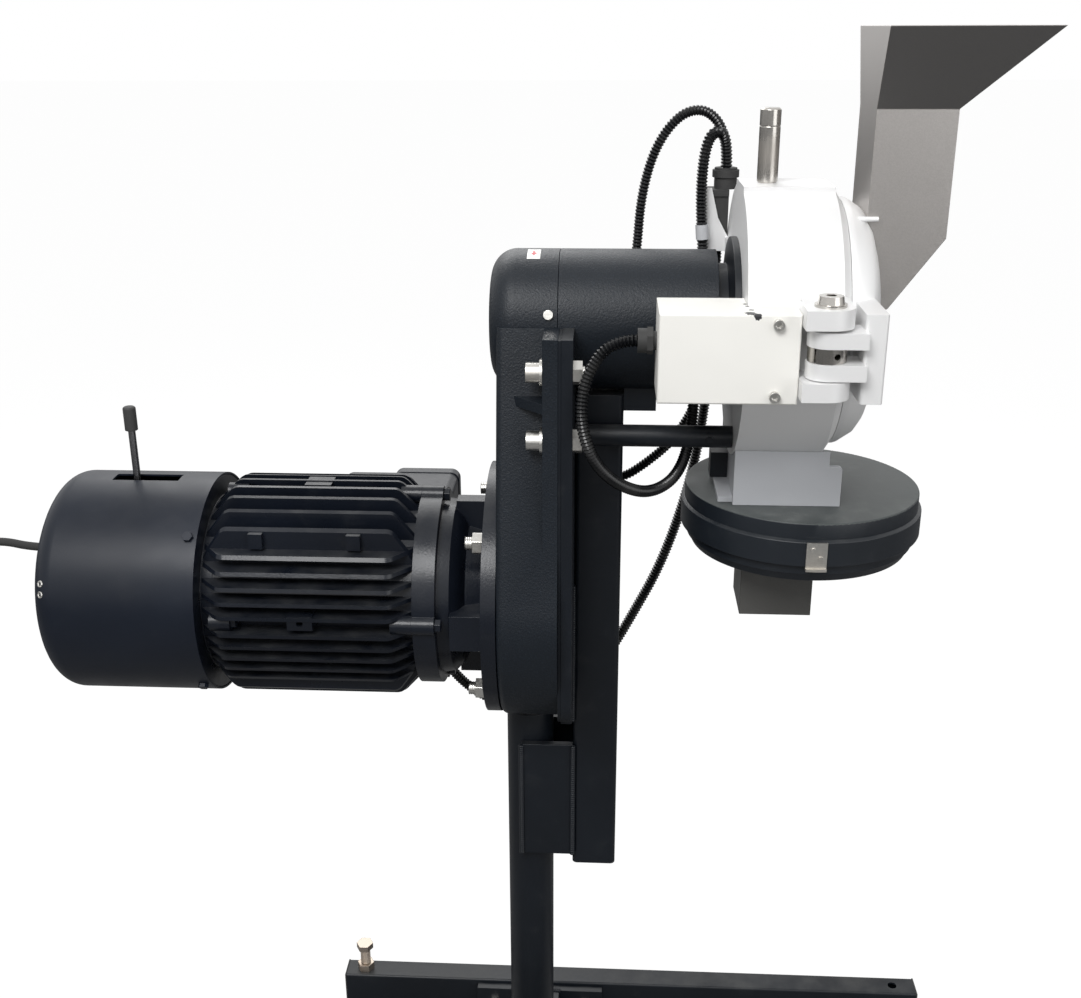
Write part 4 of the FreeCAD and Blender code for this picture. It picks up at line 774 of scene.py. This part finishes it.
@dataclass
class SmallWork:
    """Small things that stay out of the solids, such as the label, threads and weld beads."""

    spindle_height: float = 960.0
    cap_radius: float = 64.4
    rim_middle: tuple[float, float] = (-15.5, 40.4)
    rim_radius: float = 24.1
    rim_wall: float = 1.6
    rim_steps: int = 14
    rim_sides: int = 96
    label: tuple[float, float, float, float] = (-6.0, 6.0, 3.0, 22.5)
    label_steps: int = 8
    film: float = 0.25
    film_gap: float = 0.02
    print_depth: float = 0.12
    arrow: Sequence[tuple[float, float]] = (
        (-1.2, 8.5), (1.2, 8.5), (1.2, 12.5), (3.0, 12.5), (0.0, 17.5), (-3.0, 12.5), (-1.2, 12.5))
    eyelets: Sequence[tuple[Point, Point]] = (
        ((-462.3, -100.7, 724.9), (-0.47, -0.83, 0.31)), ((-462.4, -103.8, 715.0), (-0.47, -0.85, 0.23)))
    eyelet_sizes: ClassVar[dict[str, float]] = {
        "Count": 1.0, "Ring Radius": 2.5 * MM, "Wire Radius": 0.9 * MM}
    tape: Sequence[Point] = ((158.1, 86.95, 1020.5), (157.5, 87.0, 1027.5), (156.95, 87.1, 1034.5))
    tape_radius: float = 6.2
    stop: Sequence[Point] = ((282, -42.5, 1058.5), (299, -42.5, 1058.5))
    stop_radius: float = 2.2
    rail_middle: float = 166.0
    levelling_x: float = -235.5
    levelling_thread: tuple[float, float] = (71.0, 91.0)
    levelling_turns: float = 11.0
    stud_offset: float = 76.01
    motor_height: float = 687.5
    stud_thread: tuple[float, float] = (-61.4, -56.0)
    stud_turns: float = 4.0
    post_x: float = -7.0
    post_radius: float = 25.2
    foot_steps: int = 36
    cross_top: float = 55.0
    cross_half: float = 25.0
    cross_end: float = 141.0
    cheek_side: float = 32.4
    cheek_reach: tuple[float, float] = (392.0, 521.0)
    beam_start: float = 38.3
    cheek_start: float = -14.8
    plate_seam: tuple[float, float] = (37.6, 30.6)
    plate_reach: tuple[float, float] = (552.0, 700.0)

    def build(self) -> None:
        """Make every small piece."""
        self.labels()
        self.cap_rim()
        self.rings()
        self.sleeves()
        self.beads()

    def about_axis(self, x: float, away: float, angle: float) -> Point:
        """Point beside the spindle's axis, turned by an angle in radians from the top towards -Y."""
        return (x, -away * sin(angle), self.spindle_height + away * cos(angle))

    def labels(self) -> None:
        """White direction label on the cap, with a small red arrow."""
        left, right, top, bottom = self.label
        low = self.cap_radius + self.film_gap
        high = low + self.film
        corners = ((left, low), (right, low), (right, high), (left, high))
        steps = self.label_steps
        angles = [radians(top + (bottom - top) * i / steps) for i in range(steps + 1)]
        label = lofted("direction_label", [[self.about_axis(x, away, angle) for x, away in corners]
                                           for angle in angles])
        piece_from(label, "direction_label", STAND, Finishes.LABEL)
        arrow = lofted("direction_arrow", [[self.about_axis(x, away, radians(degrees))
                                            for x, degrees in self.arrow]
                                           for away in (high, high + self.print_depth)])
        piece_from(arrow, "direction_arrow", STAND, Finishes.RED)

    def cap_rim(self) -> None:
        """Rim over the rounding of the cap, which closes the slot that the cap's hollow leaves there."""
        middle_x, middle_radius = self.rim_middle
        profile = []
        for reach, order in ((self.rim_radius, 1), (self.rim_radius - self.rim_wall, -1)):
            for i in range(self.rim_steps + 1)[::order]:
                angle = pi / 2 * i / self.rim_steps
                profile.append((middle_x - reach * cos(angle),
                                middle_radius + reach * sin(angle)))
        turns = [2 * pi * i / self.rim_sides for i in range(self.rim_sides)]
        rim = lofted("cap_rim", [[self.about_axis(x, away, -turn) for x, away in profile]
                                 for turn in turns], True)
        smooth_by_angle(rim)
        piece_from(rim, "cap_rim", STAND, Finishes.CASTING)

    def rings(self) -> None:
        """Eyelets in the cowl, and the threads of the levelling screws and of the flange studs."""
        recipe = rings_recipe()
        eyelets = []
        for place, normal in self.eyelets:
            end = tuple(p + n for p, n in zip(place, normal))
            eyelets.append(recipe.run(straight("eyelet", place, end), "eyelet", Finishes.ZINC,
                                      **self.eyelet_sizes))
        self.place(eyelets, "cowl_eyelets", Finishes.ZINC)
        low, high = self.levelling_thread
        x = self.levelling_x
        threads = [recipe.run(straight("thread", (x, y, low), (x, y, high)), "thread", Finishes.WEATHERED,
                              Count=self.levelling_turns) for y in (-self.rail_middle, self.rail_middle)]
        self.place(threads, "levelling_threads", Finishes.WEATHERED)
        start, end = self.stud_thread
        middle, out = self.motor_height, self.stud_offset
        studs = [recipe.run(straight("thread", (start, y, z), (end, y, z)), "thread", Finishes.ZINC,
                            Count=self.stud_turns)
                 for y in (-out, out) for z in (middle - out, middle + out)]
        self.place(studs, "stud_threads", Finishes.ZINC)

    def sleeves(self) -> None:
        """Tape round the front conduit, and the small white stop on the door beside the hopper."""
        for path, radius, name, body, finish in (
                (self.tape, self.tape_radius, "conduit_tape", STAND, Finishes.TAPE),
                (self.stop, self.stop_radius, "door_stop", "door", Finishes.WHITE)):
            curve = polyline(name, path)
            curve.bevel_depth = radius * MM
            curve.bevel_resolution = 4
            curve.use_fill_caps = True
            mesh = baked(linked("holder", curve), name)
            smooth_by_angle(mesh)
            piece_from(mesh, name, body, finish)

    def beads(self) -> None:
        """Weld beads at the foot of the post, the cheeks, the plate and the ends of the cross member."""
        recipe = beads_recipe()
        angles = [radians(360 / self.foot_steps * i) for i in range(self.foot_steps)]
        foot = [(self.post_x + self.post_radius * cos(angle), self.post_radius * sin(angle),
                 self.cross_top) for angle in angles]
        paths = [polyline("post_foot", foot, True)]
        low, high = self.cheek_reach
        for side in (-1, 1):
            y = side * self.cheek_side
            for x in (self.beam_start, self.cheek_start):
                paths.append(straight("cheek", (x, y, low), (x, y, high)))
            x, y = self.plate_seam[0], side * self.plate_seam[1]
            paths.append(straight("plate", (x, y, self.plate_reach[0]), (x, y, self.plate_reach[1])))
            y = side * self.cross_end
            paths.append(straight("cross", (self.post_x - self.cross_half, y, self.cross_top),
                                  (self.post_x + self.cross_half, y, self.cross_top)))
        beads = [recipe.run(path, "bead", Finishes.FRAME) for path in paths]
        self.place(beads, "weld_beads", Finishes.FRAME)

    @staticmethod
    def place(meshes: Sequence[Mesh], name: str, finish: Finishes) -> None:
        """Put meshes together as one piece of the stand."""
        mesh = joined(meshes, name)
        smooth_by_angle(mesh)
        piece_from(mesh, name, STAND, finish)


@dataclass
class Conduits:
    """The three ribbed conduits of the switches and the motor, with their own smooth routes."""

    radius: float = 5.7 * MM
    thin_radius: float = 5.1 * MM
    pitch: float = 3.3 * MM
    front: Sequence[Point] = (
        (93, -110, 966), (70, -110, 966), (49, -117, 936), (45, -121, 899), (55, -116, 861),
        (78, -86, 827), (110, -46, 804), (139, -8, 811), (152, 32, 845), (154, 66, 888), (158, 85, 940),
        (160, 87, 1000), (155, 87, 1055), (156, 90, 1095), (162, 95, 1118), (174, 102, 1122),
        (180, 106.5, 1105), (180, 106.5, 1086))
    rear: Sequence[Point] = (
        (180, 117.5, 1086), (180, 117.5, 1107), (172, 113, 1129), (154, 106, 1142), (131, 100, 1135),
        (110, 97, 1106), (98, 95, 1062), (95, 94, 1010), (90, 97, 955), (78, 100, 900), (66, 98, 850),
        (60, 87, 808), (64, 69, 783), (84, 59, 782), (110, 63, 799), (136, 74, 819), (158, 90, 851),
        (170, 102, 897), (174, 105, 952), (174, 105, 1007))
    motor: Sequence[Point] = (
        (-128, 134, 613.5), (-128, 134, 584), (-112, 104, 548), (-84, 78, 530), (-52, 65, 518),
        (-15, 60, 510), (22, 60, 521), (54, 61, 551), (80, 62, 592), (102, 69, 632), (123, 80, 669),
        (142, 96, 714), (158, 110, 767), (168, 117, 826), (173, 120, 888), (174, 120.5, 950),
        (174, 120.5, 1007))

    def build(self) -> None:
        """Make the three ribbed hoses."""
        recipe = hose_recipe()
        for node, route, radius in (
                ("front_conduit", self.front, self.radius), ("rear_conduit", self.rear, self.thin_radius),
                ("motor_conduit", self.motor, self.radius)):
            mesh = recipe.run(spline(node, route), f"{node}_ribbed", Finishes.HOSE,
                              **{"Radius": radius, "Rib Pitch": self.pitch})
            smooth_by_angle(mesh)
            piece = piece_from(mesh, f"{node}_ribbed", frame["nodes"][node]["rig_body"], Finishes.HOSE)
            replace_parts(piece, node)


@dataclass
class SupplyCord:
    """Supply cord from the cowl's gland to the floor, wound up beside the motor, with its plug."""

    radius: float = 4.25 * MM
    drop: Sequence[Point] = (
        (-486, 0, 719.5), (-514, 0, 719.5), (-545, -1, 727), (-575, -3, 722), (-596, -8, 696),
        (-606, -14, 650), (-610, -22, 590), (-613, -34, 515), (-615, -48, 435), (-617, -62, 350),
        (-618, -76, 265), (-618, -88, 180), (-617, -93, 105), (-613, -82, 46), (-603, -58, 12),
        (-593.5, -32, 4.3), (-593.5, -8.5, 4.3))
    coil_x: float = -640.0
    coil_outer: float = 46.5
    coil_pitch: float = 10.4
    coil_layer: float = 9.6
    turns: float = 2.5
    layers: int = 4
    points_per_turn: int = 16
    length: float = 3.26
    rest_height: float = 4.3
    crossing: float = 0.5
    tail: float = 8.5

    def coil_point(self, turn: float) -> Point:
        """Centre line of the coil after a number of turns, in millimetres."""
        layer = min(int(turn / (self.turns + self.crossing)), self.layers - 1)
        within = turn - layer * (self.turns + self.crossing)
        run = min(within, self.turns)
        wound = run if layer % 2 == 0 else self.turns - run
        rise = (1 - cos(2 * pi * max(0.0, within - self.turns))) / 2
        radius = self.coil_outer - self.coil_pitch * wound
        angle = 2 * pi * turn
        return (self.coil_x + radius * cos(angle), radius * sin(angle),
                self.rest_height + (layer + rise) * self.coil_layer)

    def build(self) -> None:
        total = self.turns * self.layers + (self.layers - 1) * self.crossing
        count = int(total * self.points_per_turn)
        coil = [self.coil_point(i / self.points_per_turn) for i in range(1, count + 1)]
        x, y, z = coil[-1]
        curve = spline("supply_cord", [*self.drop, *coil, (x, y - self.tail, z)])
        curve.bevel_depth = self.radius
        curve.bevel_resolution = 5
        curve.use_fill_caps = True
        curve.materials.append(Finishes.RUBBER.value.material())
        cord = linked("supply_cord", curve)
        body = frame["nodes"]["supply_cable"]["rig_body"]
        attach(cord, body)
        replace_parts(cord, "supply_cable", "supply_coil")
        plug = dressed("supply_plug", Finishes.PLASTIC, 1.2 * MM, 3)
        gland = dressed("cable_gland", Finishes.PLASTIC, 0.5 * MM)
        LOG.info("supply_cord: %d control points", len(curve.splines[0].points))


@dataclass
class Motor(Assembly):
    """Finned motor with its cowl, brake lever, shields and terminal box."""

    finishes = {
        "motor_frame": Finishes.MOTOR, "motor_end_shield": Finishes.MOTOR,
        "motor_rear_shield": Finishes.MOTOR, "fan_cowl": Finishes.COWL, "terminal_box": Finishes.MOTOR,
        "motor_fasteners": Finishes.MOTOR, "brake_lever": Finishes.BLACKENED,
        "lever_grip": Finishes.PLASTIC, "stator": Finishes.CORE, "brake_magnet": Finishes.MACHINED,
        "motor_rotor": Finishes.MACHINED, "motor_pulley": Finishes.MACHINED,
        "cooling_fan": Finishes.PLASTIC}
    edges = {"motor_frame": 0.8 * MM, "fan_cowl": 0.4 * MM, "motor_end_shield": 1.2 * MM,
             "terminal_box": 1.0 * MM}
    flange_nuts: float = -0.06

    def build(self) -> None:
        """Dress the motor and leave the nuts of its flange bare."""
        self.dress()
        second_finish(self.pieces["motor_fasteners"], Finishes.ZINC,
                      lambda face: face.center.x > self.flange_nuts)


@dataclass
class DriveCase(Assembly):
    """Belt casing with its gasket, plate, screws and belt."""

    finishes = {
        "drive_casing": Finishes.CASTING, "casing_gasket": Finishes.FRAME, "mounting_plate": Finishes.FRAME,
        "casing_bolts": Finishes.ZINC, "drive_belt": Finishes.RUBBER}
    edges = {"drive_casing": 1.2 * MM, "mounting_plate": 0.8 * MM, "casing_bolts": 0.5 * MM}
    squeezed: float = 2.0 * MM

    def build(self) -> None:
        """Dress the drive case; the gasket is squeezed out as far as the edge of the casing."""
        self.dress()
        corners = self.pieces["casing_gasket"].data.vertices
        for axis in (1, 2):
            reach = [corner.co[axis] for corner in corners]
            middle, half = (max(reach) + min(reach)) / 2, (max(reach) - min(reach)) / 2
            for corner in corners:
                corner.co[axis] += (corner.co[axis] - middle) / half * self.squeezed


@dataclass
class Head(Assembly):
    """Bearing tube with its cap, spindle, flange and support rod."""

    finishes = {
        "belt_cover_cap": Finishes.CASTING, "bearing_tube": Finishes.CASTING,
        "spindle_flange": Finishes.FRAME, "shaft_bearings": Finishes.MACHINED,
        "spindle_shaft": Finishes.MACHINED, "spindle_pulley": Finishes.MACHINED,
        "support_rod": Finishes.FRAME}


@dataclass
class Mill(Assembly):
    """White housing with its hinged door, grinding discs, pin and hopper."""

    finishes = {
        "mill_housing": Finishes.WHITE, "mill_door": Finishes.WHITE, "hinge_pin": Finishes.PIN,
        "locating_pin": Finishes.PIN, "rotor_disc": Finishes.GRINDING, "door_disc": Finishes.GRINDING,
        "hopper": Finishes.HOPPER}
    edges = {"mill_housing": 1.2 * MM, "mill_door": 1.0 * MM, "hopper": 0.5 * MM}
    limits = {"hopper": radians(12)}


@dataclass
class SieveDrum(Assembly):
    """Discharge chute, flat sieve drum, clip and spout."""

    level: float = 0.5

    finishes = {
        "discharge_chute": Finishes.GREY, "drum_lid": Finishes.LID, "drum_band": Finishes.DRUM,
        "drum_pan": Finishes.DRUM, "outlet_spout": Finishes.SHADED_SPOUT, "pan_clip": Finishes.ZINC}

    def build(self) -> None:
        """Dress the drum; the dust lies on the lid's top only."""
        self.dress()
        second_finish(self.pieces["drum_lid"], Finishes.DRUM, lambda face: face.normal.z < self.level)


@dataclass
class SwitchGear(Assembly):
    """Switch box, conduit gland, door switch and its bracket."""

    finishes = {
        "switch_box": Finishes.WARM_WHITE, "conduit_gland": Finishes.PLASTIC, "cover_screws": Finishes.ZINC,
        "rear_switch": Finishes.PLASTIC, "switch_bracket": Finishes.WHITE}
    cowl_screws: float = -0.25

    def build(self) -> None:
        """Dress the switch gear; the screws on the cowl are painted with it."""
        self.dress()
        second_finish(self.pieces["cover_screws"], Finishes.COWL,
                      lambda face: face.center.x < self.cowl_screws)


@dataclass
class Stand(Assembly):
    """Floor rails, cross member, post and beam."""

    finishes = {
        "base_rail_front": Finishes.FRAME, "base_rail_rear": Finishes.FRAME,
        "rail_end_caps": Finishes.PLASTIC, "levelling_screws": Finishes.WEATHERED,
        "cross_member": Finishes.FRAME, "flange_bolts": Finishes.ZINC, "post": Finishes.FRAME,
        "post_cheeks": Finishes.FRAME, "column_beam": Finishes.FRAME}
    edge: float = 0.8 * MM
    lifted: Sequence[tuple[str, float, float, float]] = (("levelling_screws", 0.075, 1.0, 0.012),
                                                         ("column_beam", 0.0, 0.375, 0.015))

    def build(self) -> None:
        """Dress the stand; the levelling screws' heads and the beam's lower end sit a little higher."""
        self.dress()
        for node, low, high, lift in self.lifted:
            for corner in self.pieces[node].data.vertices:
                if low < corner.co.z < high:
                    corner.co.z += lift


@dataclass
class Studio:
    """Pale floor, soft lights and the camera of the photograph."""

    eye: Point = (0.06824, -1.16858, 1.21660)
    yaw: float = -0.0547
    pitch: float = 0.3567
    roll: float = 0.0036
    focal_pixels: float = 1273.03
    picture_width: float = 1081.0
    sensor: float = 36.0
    floor_half: float = 30.0
    floor_tones: tuple[float, float] = (0.26, 0.85)
    floor_glow: float = 1.06
    floor_share: float = 0.9
    ambient: float = 0.35
    lamp_rows: Sequence[tuple[str, Point, float, float]] = (
        ("key", (-0.7, -1.9, 2.8), 1.3, 68.0), ("fill", (2.2, -2.0, 1.6), 2.0, 24.0),
        ("back", (-0.6, 2.0, 2.6), 1.6, 30.0))
    lamp_target: Point = (0, 0, 0.7)

    def build(self) -> None:
        """Make the floor, the world, the lamps and the camera."""
        self.floor()
        self.world()
        self.lamps()
        self.camera()
        bpy.context.scene.view_settings.view_transform = "Standard"

    def camera(self) -> None:
        """Put the camera where the photograph was taken."""
        level = cos(self.pitch)
        ahead = Vector((sin(self.yaw) * level, cos(self.yaw) * level, -sin(self.pitch)))
        right = Vector((cos(self.yaw), -sin(self.yaw), 0))
        down = ahead.cross(right)
        turned_right = right * cos(self.roll) + down * sin(self.roll)
        turned_down = down * cos(self.roll) - right * sin(self.roll)
        camera = linked("camera", bpy.data.cameras.new("camera"))
        camera.data.sensor_width = self.sensor
        camera.data.lens = self.sensor * self.focal_pixels / self.picture_width
        columns = Matrix((turned_right, -turned_down, -ahead)).transposed()
        camera.matrix_world = Matrix.Translation(self.eye) @ columns.to_4x4()
        bpy.context.scene.camera = camera

    def floor(self) -> None:
        """Pale floor that is white to the camera and keeps the machine's shadow."""
        mesh = bpy.data.meshes.new("floor")
        half = self.floor_half
        mesh.from_pydata([(-half, -half, 0), (half, -half, 0), (half, half, 0), (-half, half, 0)], [],
                         [(0, 1, 2, 3)])
        shader = Shader("floor_paint")
        rays = shader.node("ShaderNodeLightPath", output="Is Camera Ray")
        dark, pale = self.floor_tones
        tone = shader.blend(rays, (dark,) * 3, (pale,) * 3)
        plain = shader.node("ShaderNodeBsdfDiffuse", {"Color": tone})
        white = shader.node("ShaderNodeEmission", {"Color": WHITE_LIGHT, "Strength": self.floor_glow})
        surface = shader.node("ShaderNodeMixShader", {0: rays * self.floor_share, 1: plain, 2: white})
        shader.node("ShaderNodeOutputMaterial", {"Surface": surface})
        mesh.materials.append(shader.material)
        linked("floor", mesh)

    def world(self) -> None:
        """White behind the machine, a plain grey light on it."""
        world = bpy.data.worlds.new("studio")
        world.use_nodes = True
        graph = Graph(world.node_tree)
        seen = graph.node("ShaderNodeLightPath", output="Is Camera Ray")
        glossy = graph.node("ShaderNodeLightPath", output="Is Glossy Ray")
        through = graph.node("ShaderNodeLightPath", output="Is Transmission Ray")
        white = seen.maths("MAXIMUM", seen, glossy.maths("MAXIMUM", glossy, through))
        strength = white * (1 - self.ambient) + self.ambient
        shade = graph.node("ShaderNodeBackground", {"Color": WHITE_LIGHT, "Strength": strength})
        graph.node("ShaderNodeOutputWorld", {"Surface": shade})
        bpy.context.scene.world = world

    def lamps(self) -> None:
        """Large soft lamps: one above on the motor's side, one in front and one behind."""
        for name, place, size, power in self.lamp_rows:
            light = bpy.data.lights.new(name, "AREA")
            light.energy = power
            light.size = size
            lamp = linked(name, light)
            lamp.location = place
            aim = Vector(self.lamp_target) - Vector(place)
            lamp.rotation_mode = "QUATERNION"
            lamp.rotation_quaternion = aim.to_track_quat("-Z", "Y")


def main() -> None:
    """Build every sub-assembly in order."""
    logging.basicConfig(level=logging.INFO, format="%(message)s")
    Studio().build()
    for assembly in (SupplyCord(), Conduits(), Stand(), DriveCase(), Head(), Mill(), SieveDrum(),
                     SwitchGear(), Motor(), SmallWork()):
        assembly.build()
        LOG.info("%s built", type(assembly).__name__)


if __name__ == "__main__":
    main()
